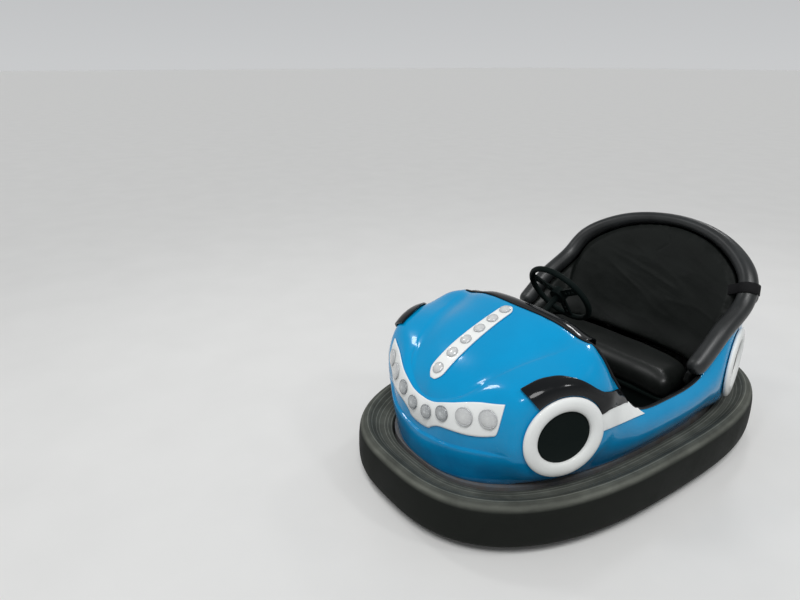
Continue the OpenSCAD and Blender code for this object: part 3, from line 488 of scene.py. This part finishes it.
def above_ledge(point):
    return point.z - LEDGE_HEIGHT - LEDGE_RISE * abs(point.x)


def from_nose(point):
    return Vector((point.x, point.y - NOSE_MIDDLE, 0))


def on_nose(point, normal):
    return point.y < NOSE_REAR and normal.dot(from_nose(point)) > 0


def nose_ledge(mesh):
    for side in (1, -1):
        for height in LEDGE_CUTS:
            faces = []
            for face in mesh.faces:
                middle = face.calc_center_median()
                if (side * middle.x > 0 and abs(above_ledge(middle)) < LEDGE_ZONE
                        and on_nose(middle, face.normal)):
                    faces.append(face)
            around = {e for f in faces for e in f.edges} | {v for f in faces for v in f.verts}
            bmesh.ops.bisect_plane(mesh, geom=faces + list(around),
                plane_co=(0, 0, LEDGE_HEIGHT + height * MM), plane_no=(-LEDGE_RISE * side, 0, 1))
    moved = 0
    for vert in mesh.verts:
        below = -above_ledge(vert.co) / MM
        if below > 0 and on_nose(vert.co, vert.normal):
            reach = (min(1.0, (FADE_END - below) / FADE_LENGTH)
                * min(1.0, (SIDE_END - abs(vert.co.x)) / SIDE_LENGTH))
            if reach > 0:
                vert.co += from_nose(vert.co).normalized() * LEDGE_STEP * MM * reach
                moved += 1
    print("nose ledge:", moved, "points moved")


# %% [markdown]
# ## The body's shell
# The shell is blue outside and dull black inside, where it is bare. One mesh has both faces,
# so each face carries a number that says whether it looks inwards, and the finish reads it. A
# face looks inwards if its normal points to the shell's spine, a line low along the middle.

# %% Round the shell
SPINE_FRONT, SPINE_REAR, SPINE_HEIGHT = -0.5, 0.4, 0.15

shell = softened("body_shell", 55, shape=nose_ledge, crest=raise_crest)
inside = shell.data.attributes.new("inside", "FLOAT", "FACE")
for face in shell.data.polygons:
    x, y, z = face.center
    outward = Vector((x, y - min(max(y, SPINE_FRONT), SPINE_REAR), z - SPINE_HEIGHT))
    inside.data[face.index].value = float(face.normal.dot(outward) < 0)
print(sum(mark.value > 0 for mark in inside.data), "faces look inwards")

# %% [markdown]
# ## Liners, trims and the belt
# These are thin mouldings and straps whose construction shape is right. They are only
# rounded. The angle over which an edge is creased differs: an edging of rubber is rounder
# than a moulded rim.

# %% Round the liners, the trims and the belt
for node, over, levels in [("side_liner_left", 45, 2), ("side_liner_right", 45, 2),
    ("light_band", 60, 2), ("arch_trim_left", 60, 2), ("arch_trim_right", 60, 2),
    ("bonnet_edge_trim", 80, 2), ("seat_belt", 60, 1)]:
    softened(node, over, levels)

# %% [markdown]
# ## The strip on the bonnet
# The white strip with its lamps is a little wider towards its lower end. Its points are moved
# sideways in proportion, which keeps its straight edges straight.

# %% Widen the strip
WIDER, WIDER_FROM, WIDER_OVER = 0.22, -0.45, 0.2


def wider_below(mesh):
    for vert in mesh.verts:
        share = min(max((WIDER_FROM - vert.co.y) / WIDER_OVER, 0.0), 1.0)
        vert.co.x *= 1 + WIDER * share


softened("bonnet_strip", 60, shape=wider_below)

# %% [markdown]
# ## The roll round the seat
# The roll is a fat tube of foam in vinyl. Its construction solid ends flat, and the real one
# ends in a round nose that lies along the rim. So each flat end is inset three times, a
# little further out each time, and the subdivision makes a dome of the steps.

# %% Draw out the roll's ends
# The middle of the left end and the direction in which the roll runs out there
ROLL_END, ROLL_HEADING = (0.4664, 0.1991, 0.4681), (-0.037, -0.819, -0.572)
ROLL_RADIUS = 0.045
NOSE_STEPS = [(5, 13), (7, 10), (10, 6)]


def round_ends(mesh):
    for side in (1, -1):
        middle, out = [Vector((side * x, y, z)) for x, y, z in (ROLL_END, ROLL_HEADING)]
        cap = [f for f in mesh.faces if f.normal.dot(out) > 0.99
            and (f.calc_center_median() - middle).length < ROLL_RADIUS]
        for inward, onward in NOSE_STEPS:
            bmesh.ops.inset_region(mesh, faces=cap, thickness=inward * MM, depth=onward * MM,
                use_boundary=True, use_even_offset=True)
        print("roll end:", len(cap), "cap faces drawn out")


softened("seat_edge_roll", 120, shape=round_ends)

# %% [markdown]
# ## Blades behind the front rings
# The white blade is a thin plate that lies on the body with straight edges. It is cut out of a
# copy of the body's rounded skin by a plane along each edge, and then given its thickness. The
# black trim ends in a heel that is cut the same way and fills the corner over the blade. The
# edges look straight from where the photo was taken, so each plane passes through that point.

# %% Cut plates out of the body's skin
VIEWPOINT = Vector((1.626, -2.040, 1.602))
BLADE = [(0.4826, -0.412, 0.4718), (0.4673, -0.2372, 0.452), (0.4903, -0.158, 0.3881),
    (0.4888, -0.393, 0.3997)]
HEEL = [(0.4826, -0.412, 0.4718), (0.4673, -0.2372, 0.452), (0.4616, -0.2467, 0.4672),
    (0.481, -0.395, 0.515)]
PLATE_REACH, PLATE_EDGE = 0.16, 1.2 * MM
skin = shell.evaluated_get(bpy.context.evaluated_depsgraph_get()).data


def plate(name, corners, side, lift, thick, slot, replaced=()):
    mesh = bmesh.new()
    mesh.from_mesh(skin)
    flip = Matrix.Diagonal((side, 1, 1))
    points = [flip @ Vector(corner) for corner in corners]
    middle = sum(points, Vector()) / len(points)
    # Only the outward faces close by are kept
    spare = [f for f in mesh.faces if (f.calc_center_median() - middle).length > PLATE_REACH
        or f.normal.x * side < 0.1]
    bmesh.ops.delete(mesh, geom=spare, context="FACES")
    for a, b in zip(points, points[1:] + points[:1]):
        across = (b - a).cross(flip @ VIEWPOINT - a)
        if across.dot(middle - a) > 0:
            across.negate()
        bmesh.ops.bisect_plane(mesh, geom=mesh.verts[:] + mesh.edges[:] + mesh.faces[:],
            plane_co=a, plane_no=across, clear_outer=True)
    for vert in mesh.verts:
        vert.co += vert.normal * lift * MM
    piece = finished(mesh, name, slot, replaced=replaced)
    wall = piece.modifiers.new("wall", "SOLIDIFY")
    wall.thickness, wall.offset = thick * MM, 1
    rim = piece.modifiers.new("rim", "BEVEL")
    rim.width, rim.segments, rim.angle_limit = PLATE_EDGE, 2, math.radians(50)
    print(name, len(piece.data.polygons), "faces")


for side, word in [(1, "left"), (-1, "right")]:
    plate(f"sill_blade_{word}_plate", BLADE, side, 0.4, 5.4, "white_gloss",
        [f"sill_blade_{word}"])
    plate(f"arch_heel_{word}", HEEL, side, 0.2, 3.6, "black_gloss")

# %% [markdown]
# ## The cowl
# Under the bonnet's rear edge lies a black cowl. Its top is a soft hump that shows over the
# bonnet's edging. A bell curve lifts the points there, which leaves no edge where it ends.

# %% Lift the cowl's hump
HUMP_LIFT, HUMP_MIDDLE, HUMP_WIDTH = 9, -0.31, 42
HUMP_FRONT, HUMP_FROM = -0.35, 0.52


def channel(distance, width):
    return math.exp(-(distance / (width * MM)) ** 2)


cowl = softened("dash_cowl", 60)
for vert in cowl.data.vertices:
    if vert.co.y > HUMP_FRONT and vert.co.z > HUMP_FROM:
        vert.co.z += HUMP_LIFT * MM * channel(vert.co.y - HUMP_MIDDLE, HUMP_WIDTH)
print("cowl lifted by up to", HUMP_LIFT, "mm")

# %% [markdown]
# ## The rubber ring
# The ring's plan is a rounded oblong, the curve where the 2.7th powers of the two shares of
# its half width and half length add up to 1. For each point the script looks for the inset at
# which such a curve passes through it, by halving a span until it is small. The finish draws
# the fine lines round the ring by that number.

# %% Give the ring its insets
PLAN_POWER, DEEPEST, HALVINGS = 2.7, 0.16, 20
wide, long = cad_box[1][0], cad_box[1][1]


def inset_at(x, y):
    low, high = 0.0, DEEPEST
    for turn in range(HALVINGS):
        middle = (low + high) / 2
        shares = abs(x) / (wide - middle), abs(y) / (long - middle)
        beyond = sum(share ** PLAN_POWER for share in shares) > 1
        low, high = (low, middle) if beyond else (middle, high)
    return low


ring = softened("bumper_tyre", 75)
inset = ring.data.attributes.new("inset", "FLOAT", "POINT")
for vert in ring.data.vertices:
    inset.data[vert.index].value = inset_at(vert.co.x, vert.co.y)
print("deepest inset", round(max(mark.value for mark in inset.data) / MM), "mm")

# %% [markdown]
# ## Rings and discs that look like wheels
# They are turned shapes: a profile is drawn in the plane and spun round the axis of the seat
# that the body has for it. That takes far fewer points to place than shaping a cylinder.

# %% Spin a profile round an axis
# The profile's points are (radius, height) in millimetres. Doubles at the poles are merged
# before the normals are worked out
def spun(profile, steps=96):
    mesh = bmesh.new()
    row = [mesh.verts.new((radius * MM, 0, height * MM)) for radius, height in profile]
    edges = [mesh.edges.new(pair) for pair in zip(row, row[1:])]
    bmesh.ops.spin(mesh, geom=row + edges, cent=(0, 0, 0), axis=(0, 0, 1), angle=2 * math.pi,
        steps=steps, use_merge=True)
    bmesh.ops.remove_doubles(mesh, verts=mesh.verts[:], dist=0.01 * MM)
    bmesh.ops.recalc_face_normals(mesh, faces=mesh.faces[:])
    return mesh


# A mirrored mesh is inside out until its faces are reversed
def placed(mesh, centre, normal, side=1):
    turn = Vector(normal).to_track_quat("Z", "Y").to_matrix().to_4x4()
    mesh.transform(Matrix.Translation(Vector(centre)) @ turn)
    if side < 0:
        mesh.transform(Matrix.Diagonal((-1, 1, 1, 1)))
        bmesh.ops.reverse_faces(mesh, faces=mesh.faces[:])
    return mesh


# %% The white rings and the black discs
# Middle and direction of each left seat in metres, and the ring's radius in millimetres
SEATS = {"front": ((0.440, -0.543, 0.406), (0.954, -0.301, 0), 155),
    "rear": ((0.454, 0.504, 0.400), (0.944, 0.33, 0), 153)}
RING_BAND, RING_H = 53, 24
SEAT_GAP = 0.3


def ring_profile(radius):
    inner, half = radius - RING_BAND, RING_BAND / 2
    arc = []
    for degrees in range(-20, 171, 8):
        angle = math.radians(degrees)
        arc.append((radius - half + half * math.cos(angle),
            RING_H * (0.45 + 0.55 * math.sin(angle))))
    step = [(inner, RING_H * 0.5), (inner, SEAT_GAP), (radius - 20, SEAT_GAP), (radius - 2, 5)]
    return arc + step + [arc[0]]


def disc_profile(radius):
    rim = radius - SEAT_GAP
    return [(0, SEAT_GAP), (rim, SEAT_GAP), (rim, 7), (radius - 5, 8.6), (radius - 10, 9),
        (radius - 16, 8.2), (radius - 30, 6.4), (0, 5)]


for end, (centre, normal, radius) in SEATS.items():
    for side, word in [(1, "left"), (-1, "right")]:
        for kind, profile, slot in [("ring", ring_profile(radius), "white_gloss"),
            ("disc", disc_profile(radius - RING_BAND), "black_matte")]:
            node = f"{end}_{kind}_{word}"
            finished(placed(spun(profile), centre, normal, side), node + "_turned", slot,
                replaced=[node], sharp=40)
print("rings and discs turned")

# %% [markdown]
# ## Lamps
# Each lamp is a clear dome over a small reflector. The construction model has one dome a lamp;
# its middle, its direction and its radius are measured from that dome's own points, and a
# turned lens with rings and a rim takes its place, with its bright middle painted in.

# %% Measure the domes
# The middle of the car, which every dome looks away from, and how close to a dome's foot its
# rim lies
HEART, RIM_DEPTH = Vector((0, 0.1, 0.3)), 0.2 * MM


def islands(mesh):
    left = set(mesh.verts)
    while left:
        group, waiting = set(), [left.pop()]
        while waiting:
            vert = waiting.pop()
            group.add(vert)
            for link in vert.link_edges:
                other = link.other_vert(vert)
                if other in left:
                    left.discard(other)
                    waiting.append(other)
        yield [v.co.copy() for v in group]


def lamp_seats(node):
    mesh = merged(node)
    found = []
    for points in islands(mesh):
        cloud = np.array([list(p) for p in points])
        middle = (cloud.max(0) + cloud.min(0)) / 2
        # The direction in which the points spread least is the dome's axis
        normal = Vector(np.linalg.svd(cloud - cloud.mean(0))[2][2]).normalized()
        if normal.dot(Vector(middle) - HEART) < 0:
            normal.negate()
        heights = cloud @ np.array(normal)
        rim = cloud[heights < heights.min() + RIM_DEPTH]
        radius = np.linalg.norm(rim - rim.mean(0), axis=1).max()
        height = heights.max() - heights.min()
        found.append((Vector(rim.mean(0)), normal, radius / MM, height / MM))
    mesh.free()
    print(node, "has", len(found), "seats")
    return found


# %% [markdown]
# ## The lenses' finish
# Glass would need a reflector and a bulb behind it, and at this size shows little more than
# noise. So the lens is an opaque gloss whose colours follow its own radius: painted light makes
# its middle bright and painted shade its rim dark, and small facets carry painted glints. Each
# point carries its share of the radius and how milky the lens is.

# %% The finish of a lens
lens = Finish("lamp_lens", Coat_Weight=1.0, Coat_Roughness=0.04)
share, milk = lens.carried("share"), lens.carried("milk")
facet = lens.cells(190.0)
# Painted light and shade: each ramp runs from a bright middle, like a reflector seen through
# glass, to a darker rim
clear_painted_light_and_shade = lens.node("ShaderNodeValToRGB", {"stops": [(0.0, tint(0.62, 0.65, 0.66)),
    (0.3, tint(0.36, 0.38, 0.39)), (0.8, tint(0.30, 0.32, 0.33)),
    (1.0, tint(0.16, 0.17, 0.18))]}, {0: share})
pale = lens.node("ShaderNodeValToRGB", {"stops": [(0.0, tint(0.72, 0.73, 0.72)),
    (0.7, tint(0.62, 0.63, 0.63)), (1.0, tint(0.50, 0.51, 0.52))]}, {0: share})
painted_light_and_shade = lens.blend(milk, clear_painted_light_and_shade, pale)
# Painted glints: some facets turn near white
painted_glint = lens.between(facet, 0.55, 0.1) * 0.5
lens.feed("Base Color", lens.blend(painted_glint, painted_light_and_shade, tint(0.84, 0.87, 0.88)))
lens.feed("Roughness", lens.between(facet, 0.0, 0.6) * 0.2 + 0.12)
lens.feed("Normal", lens.bump(facet, 0.5, 0.002))
print(lens.material.name, "has", len(lens.tree.nodes), "nodes")

# %% Turn the lenses and set them on their seats
# Lamps under and over these radii in millimetres are milky; the others are clear
SMALL_LAMP, LARGE_LAMP = 25, 33
SMALL_MILK, LARGE_MILK = 0.9, 0.8


def lens_mesh(radius, height):
    inner = radius * 0.89
    rim = [(radius, 0.0), (radius, height * 0.42), (radius * 0.95, height * 0.55),
        (inner, height * 0.45)]
    # Every second ring of the dome is pressed in a little
    dome = [(inner * k / 10, height * (0.42 + 0.56 * math.sqrt(1 - (k / 10) ** 2))
        - (0.35 if k % 2 else 0)) for k in range(9, -1, -1)]
    return spun([(0, 0)] + rim + dome, 40)


whole = bmesh.new()
for base, normal, radius, height in lamp_seats("lamp_lenses"):
    milky = SMALL_MILK if radius < SMALL_LAMP else LARGE_MILK if radius > LARGE_LAMP else 0.0
    mesh = lens_mesh(radius, height)
    marks = mesh.verts.layers.float
    share_of, milk_of = marks.new("share"), marks.new("milk")
    for vert in mesh.verts:
        vert[share_of] = math.hypot(vert.co.x, vert.co.y) / (radius * MM)
        vert[milk_of] = milky
    data = bpy.data.meshes.new("lens")
    placed(mesh, base, normal).to_mesh(data)
    whole.from_mesh(data)
finished(whole, "lamp_domes", "lamp_lens", replaced=["lamp_lenses"], sharp=60,
    material=lens.material)
print("lamps placed")

# %% [markdown]
# ## The padded seat
# Cushion and backrest are foam in vinyl. Each pad starts as a copy of its construction solid,
# remeshed in even cells and eased, which draws its corners in and leaves room to swell. A
# cloth simulation with pressure inside blows it up, no point may move further than a set
# amount, and a few rounds of smoothing settle it. Subdivision alone would keep the solid's
# flat faces, and foam has none.

# %% Swell a pad
PRESSURE, FRAMES, QUALITY = 4.0, 20, 5


def swell(piece, cap):
    count = len(piece.data.vertices)
    before = np.empty(count * 3)
    piece.data.vertices.foreach_get("co", before)
    cloth = piece.modifiers.new("stuffing", "CLOTH")
    cloth.settings.use_pressure = True
    cloth.settings.uniform_pressure_force = PRESSURE
    cloth.settings.effector_weights.gravity = 0
    cloth.settings.quality = QUALITY
    cloth.point_cache.frame_start, cloth.point_cache.frame_end = 1, FRAMES
    for frame_number in range(1, FRAMES + 1):
        bpy.context.scene.frame_set(frame_number)
    blown = piece.evaluated_get(bpy.context.evaluated_depsgraph_get()).data
    after = np.empty(count * 3)
    blown.vertices.foreach_get("co", after)
    piece.modifiers.remove(cloth)
    bpy.context.scene.frame_set(1)
    move = (after - before).reshape(-1, 3)
    length = np.linalg.norm(move, axis=1)
    short = np.minimum(1.0, cap * MM / np.maximum(length, 1e-9))
    piece.data.vertices.foreach_set("co", before + (move * short[:, None]).ravel())
    piece.data.update()
    print(piece.name, "moved by up to", round(float(length.max() / MM), 1), "mm before the cap")


def settle(piece, rounds):
    mesh = bmesh.new()
    mesh.from_mesh(piece.data)
    for turn in range(rounds):
        bmesh.ops.smooth_vert(mesh, verts=mesh.verts[:], factor=0.7, use_axis_x=True,
            use_axis_y=True, use_axis_z=True)
    mesh.to_mesh(piece.data)
    mesh.free()


# %% Stuff a pad
# How much the copy grows first, the size of a cell and the cap are in millimetres; ease and
# calm are rounds of smoothing before and after
def stuffed(node, name, grow, cell, ease, cap, calm):
    mesh = merged(node)
    for vert in mesh.verts:
        vert.normal_update()
    bmesh.ops.recalc_face_normals(mesh, faces=mesh.faces[:])
    for vert in mesh.verts:
        vert.co += vert.normal * grow * MM
    piece = finished(mesh, name, slot_of[node], replaced=[node])
    remesh = piece.modifiers.new("cells", "REMESH")
    remesh.mode = "VOXEL"
    remesh.voxel_size = cell * MM
    piece.modifiers.new("ease", "SMOOTH").iterations = ease
    graph = bpy.context.evaluated_depsgraph_get()
    even = bpy.data.meshes.new_from_object(piece.evaluated_get(graph))
    piece.modifiers.clear()
    even.materials.clear()
    even.materials.append(finishes[slot_of[node]])
    piece.data = even
    even.polygons.foreach_set("use_smooth", [True] * len(even.polygons))
    swell(piece, cap)
    settle(piece, calm)
    return piece


cushion = stuffed("seat_cushion", "cushion_pad", grow=0, cell=6, ease=60, cap=16, calm=24)
backrest = stuffed("seat_back", "backrest_pad", grow=2, cell=8, ease=3, cap=8, calm=1)

# %% [markdown]
# ## Seams and wrinkles
# The vinyl on the backrest has long slanting folds, finer ones between them and a short seam
# at the top. They come after the simulation, because the remesh would erase them. Folds are
# ridged noise: where smooth noise crosses zero, one minus its size makes a sharp crest.

# %% Sew the pads
# Dents of the cushion: how close they lie across and along the car, the noise's third
# coordinate, which stands in for a seed, and the height in millimetres
DENTS = (6, 9, 0.3, 2.5)
# Folds of the backrest, long and fine: how close they lie along and across the slant, the
# third coordinate, how sharp the crest is, and the height in millimetres
FOLDS = [(2.6, 15, 4.0, 6, 6.0), (5, 34, 9.0, 5, 1.8)]
SLANT_COS, SLANT_SIN = 0.97, 0.24
# The height of the folds' middle in metres, and the bell curves' widths in millimetres
FOLDS_MIDDLE, FOLDS_WIDE, FOLDS_HIGH = 0.64, 300, 140
# The seam's lower end and its sway in metres, its waves, its width and depth in millimetres
SEAM_FROM, SEAM_SWAY, SEAM_WAVES, SEAM_WIDE, SEAM_DEEP = 0.76, 0.02, 60, 5, 3.5


def cushion_relief(p):
    across, along, third, height = DENTS
    return noise.noise(Vector((p.x * across, p.y * along, third))) * height


def backrest_relief(p):
    along = p.x * SLANT_COS - p.z * SLANT_SIN
    across = p.x * SLANT_SIN + p.z * SLANT_COS
    folds = 0
    for close_along, close_across, third, sharp, height in FOLDS:
        wave = noise.noise(Vector((along * close_along, across * close_across, third)))
        folds += (1 - abs(wave)) ** sharp * height
    middle = channel(p.x, FOLDS_WIDE) * channel(p.z - FOLDS_MIDDLE, FOLDS_HIGH)
    sway = SEAM_SWAY * math.sin(p.z * SEAM_WAVES)
    seam = channel(p.x + sway, SEAM_WIDE) * (p.z > SEAM_FROM)
    return folds * middle - SEAM_DEEP * seam


for pad, relief, fill in [(cushion, cushion_relief, 0.7), (backrest, backrest_relief, 0.6)]:
    points = [vert.co + vert.normal * relief(vert.co) * MM for vert in pad.data.vertices]
    for vert, point in zip(pad.data.vertices, points):
        vert.co = point
    surface = pad.modifiers.new("rounding", "SUBSURF")
    surface.levels = surface.render_levels = 1
print("pads sewn")

# %% [markdown]
# ## The belt's reel
# The reel sits in a smooth black housing on the outside of the rim. Its seat is measured from
# the construction solid as a lamp's is, and a dome is spun on it.

# %% Reel housing
base, normal, radius, height = lamp_seats("belt_reel")[0]
dome = [(radius * math.cos(math.radians(a)), height * (0.35 + 0.65 * math.sin(math.radians(a))))
    for a in range(0, 91, 9)]
profile = [(0, 0), (radius - 2, 0), (radius, 2)] + dome
finished(placed(spun(profile, 64), base, normal), "reel_housing", "black_gloss",
    replaced=["belt_reel"], sharp=50)
print("reel housing of radius", round(float(radius)), "mm")

# %% [markdown]
# ## Wheels and small parts
# The wheels have round shoulders and two grooves, so their section is drawn once and spun.
# The hubs get bolts, and the steering wheel gets a cap.

# %% Measures of a construction piece
def extent(node):
    cloud = np.array([list(v.co) for v in nodes[node].data.vertices])
    low, high = cloud.min(0), cloud.max(0)
    return Vector((high + low) / 2), (high - low) / 2 / MM


def grouped(parts, name, slot, body):
    whole = bmesh.new()
    for part in parts:
        data = bpy.data.meshes.new("part")
        part.to_mesh(data)
        whole.from_mesh(data)
    return finished(whole, name, slot, body, sharp=35)


def bolt(radius, height):
    mesh = bmesh.new()
    bmesh.ops.create_cone(mesh, cap_ends=True, segments=6, radius1=radius * MM,
        radius2=radius * MM * 0.92, depth=height * MM)
    bmesh.ops.translate(mesh, verts=mesh.verts[:], vec=(0, 0, height * MM / 2))
    return mesh


def circle_of(count, radius):
    turns = [2 * math.pi * k / count for k in range(count)]
    return [Vector((radius * MM * math.cos(a), radius * MM * math.sin(a), 0)) for a in turns]


# %% Tyres and hubs
BOLTS, BOLT_RADIUS, BOLT_HEIGHT = 5, 5, 4


# From one flank over the shoulder and the two grooves to the other flank, in millimetres
def tyre_profile(half_width, radius, tread):
    flank = [(radius - tread, -half_width), (radius - 6, -half_width),
        (radius - 1.5, -half_width + 3), (radius, -half_width + 8)]
    grooves = [(radius - deep, x + across) for x in (-half_width / 3, half_width / 3)
        for deep, across in [(0, -2.5), (3, -1.5), (3, 1.5), (0, 2.5)]]
    profile = flank + grooves + [(a, -b) for a, b in reversed(flank)]
    return profile + profile[:1]


for place, body, tread in [("drive", "drive_wheel", 22), ("rear", "rear_wheel_left", 18),
    ("rear", "rear_wheel_right", 18)]:
    word = body.replace("rear_wheel", "") if place == "rear" else ""
    tyre, hub = f"{place}_tyre{word}", f"{place}_hub{word}"
    centre, half = extent(tyre)
    half_width, radius = half[0], half[1]
    profile = tyre_profile(half_width, radius, tread)
    finished(placed(spun(profile, 64), centre, (1, 0, 0)), tyre + "_turned", "wheel_rubber",
        body, replaced=[tyre], sharp=40)
    for side in (-1, 1):
        bolts = []
        for spot in circle_of(BOLTS, (radius - tread) * 0.55):
            mesh = bolt(BOLT_RADIUS, BOLT_HEIGHT)
            bmesh.ops.translate(mesh, verts=mesh.verts[:], vec=spot)
            hub_face = centre + Vector((side * half_width * MM, 0, 0))
            bolts.append(placed(mesh, hub_face, (side, 0, 0)))
        grouped(bolts, f"{hub}_bolts_{'left' if side > 0 else 'right'}", slot_of[hub], body)
    print(tyre, "has a radius of", round(float(radius)), "mm")

# %% Steering wheel cap
# The wheel's axis leans 35 degrees up from level, and the cap lies 12 mm up it from the hub
WHEEL_AXIS, HUB_MIDDLE, CAP_UP = Vector((0, 0.819152, 0.573576)), Vector((0, -0.104, 0.7)), 12
cap = [(0, 0), (27, 0), (27, 1.5), (23, 4), (12, 6), (0, 6.6)]
cap_mesh = placed(spun(cap, 48), HUB_MIDDLE + WHEEL_AXIS * CAP_UP * MM, WHEEL_AXIS)
grouped([cap_mesh], "steering_cap", "black_matte", "steering")
print("wheels and small parts done")

# %% [markdown]
# ## Floor
# The floor is plain and pale. It is pale to the camera and to mirrors, and gives back less
# light to the car's sides, which a Light Path node tells apart. Its lower face is clear, so
# that the underside can be seen.

# %% Floor
FLOOR_SIZE = 300
bpy.ops.mesh.primitive_plane_add(size=FLOOR_SIZE)
floor = bpy.context.object
floor.name = "floor"
paint = Finish("floor_finish", Roughness=0.7)
pale = paint.blend(paint.noise(3.0, 5.0), tint(0.74, 0.74, 0.73), tint(0.80, 0.80, 0.79))
camera_ray, glossy_ray, clear_ray = [paint.node("ShaderNodeLightPath", out=ray)
    for ray in ("Is Camera Ray", "Is Glossy Ray", "Is Transmission Ray")]
seen = paint.maths("MAXIMUM", paint.maths("MAXIMUM", camera_ray, glossy_ray), clear_ray)
paint.feed("Base Color", paint.blend(seen, tint(0.40, 0.40, 0.39), pale))
paint.feed("Alpha", 1 - paint.node("ShaderNodeNewGeometry", out="Backfacing"))
floor.data.materials.append(paint.material)
floor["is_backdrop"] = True
print("floor", FLOOR_SIZE, "m wide")

# %% [markdown]
# ## Light
# A soft pale sky, a wide sun and four lamps overhead show the gloss without burning the white
# mouldings out. The sky is pale at the horizon, where it meets the floor's own brightness, and
# dimmer overhead, so that black gloss stays black.

# %% Sky
# How high the view looks, from 0 at the horizon to 1 overhead, and the grey there
SKY_STOPS = [(0.0, 0.60), (0.55, 0.30)]
world = bpy.data.worlds.new("sky")
bpy.context.scene.world = world
world.use_nodes = True
sky = world.node_tree


def sky_node(kind, *inputs):
    made = sky.nodes.new(kind)
    for socket, source in inputs:
        sky.links.new(source, made.inputs[socket])
    return made


direction = sky_node("ShaderNodeTexCoord").outputs["Generated"]
height = sky_node("ShaderNodeSeparateXYZ", (0, direction)).outputs["Z"]
dome = sky_node("ShaderNodeValToRGB", (0, height))
for stop, (where, grey) in zip(dome.color_ramp.elements, SKY_STOPS):
    stop.position, stop.color = where, tint(grey * 0.97, grey * 0.985, grey)
open_sky = sky_node("ShaderNodeBackground", (0, dome.outputs[0]))
sky.links.new(open_sky.outputs[0], sky.nodes["World Output"].inputs[0])
print(world.name, "has", len(sky.nodes), "nodes")

# %% Sun and ceiling lamps
AIM = Vector((0, 0, 0.4))


def lamp(name, kind, place, power, **settings):
    light = bpy.data.lights.new(name, kind)
    light.energy = power
    for key, setting in settings.items():
        setattr(light, key, setting)
    stand = bpy.data.objects.new(name, light)
    bpy.context.scene.collection.objects.link(stand)
    stand.location = place
    stand.rotation_euler = (AIM - Vector(place)).to_track_quat("-Z", "Y").to_euler()


lamp("sun", "SUN", (1.9, -1.7, 4.8), 1.55, angle=math.radians(24))
for name, place, power, size in [("ceiling_left", (2.4, 0.6, 3.2), 12, 0.45),
    ("ceiling_front", (0.9, -3.4, 3.4), 16, 0.5), ("ceiling_right", (-2.2, -1.2, 3.0), 12, 0.45),
    ("ceiling_rear", (-0.8, 2.6, 3.2), 14, 0.5)]:
    lamp(name, "AREA", place, power, shape="DISK", size=size)
print(len(bpy.data.lights), "lights")

# %% [markdown]
# ## Camera
# The camera stands where the photo was taken from. The place, the tilt and the lens were
# fitted to the rubber ring's outline, so that the render can be laid over the photo.

# %% Camera
LENS, SENSOR = 28.03, 36.0
LOOK_DOWN, HEADING = 20.89, 55.32
eye = bpy.data.cameras.new("camera")
eye.sensor_width, eye.lens = SENSOR, LENS
camera = bpy.data.objects.new("camera", eye)
bpy.context.scene.collection.objects.link(camera)
camera.location = VIEWPOINT
camera.rotation_euler = (math.radians(90 - LOOK_DOWN), 0, math.radians(HEADING))
bpy.context.scene.camera = camera
bpy.context.scene.view_settings.view_transform = "Standard"
print("camera", round(VIEWPOINT.length, 2), "m from the middle of the floor")

# %% [markdown]
# ## Sizes, and the end
# Both boxes, the construction model's and the visual model's, are printed. The visual
# model has to stay inside the construction model's box.

# %% Sizes, and the end
corners = [[list(corner) for corner in box] for box in (cad_box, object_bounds())]
print("boxes", corners)
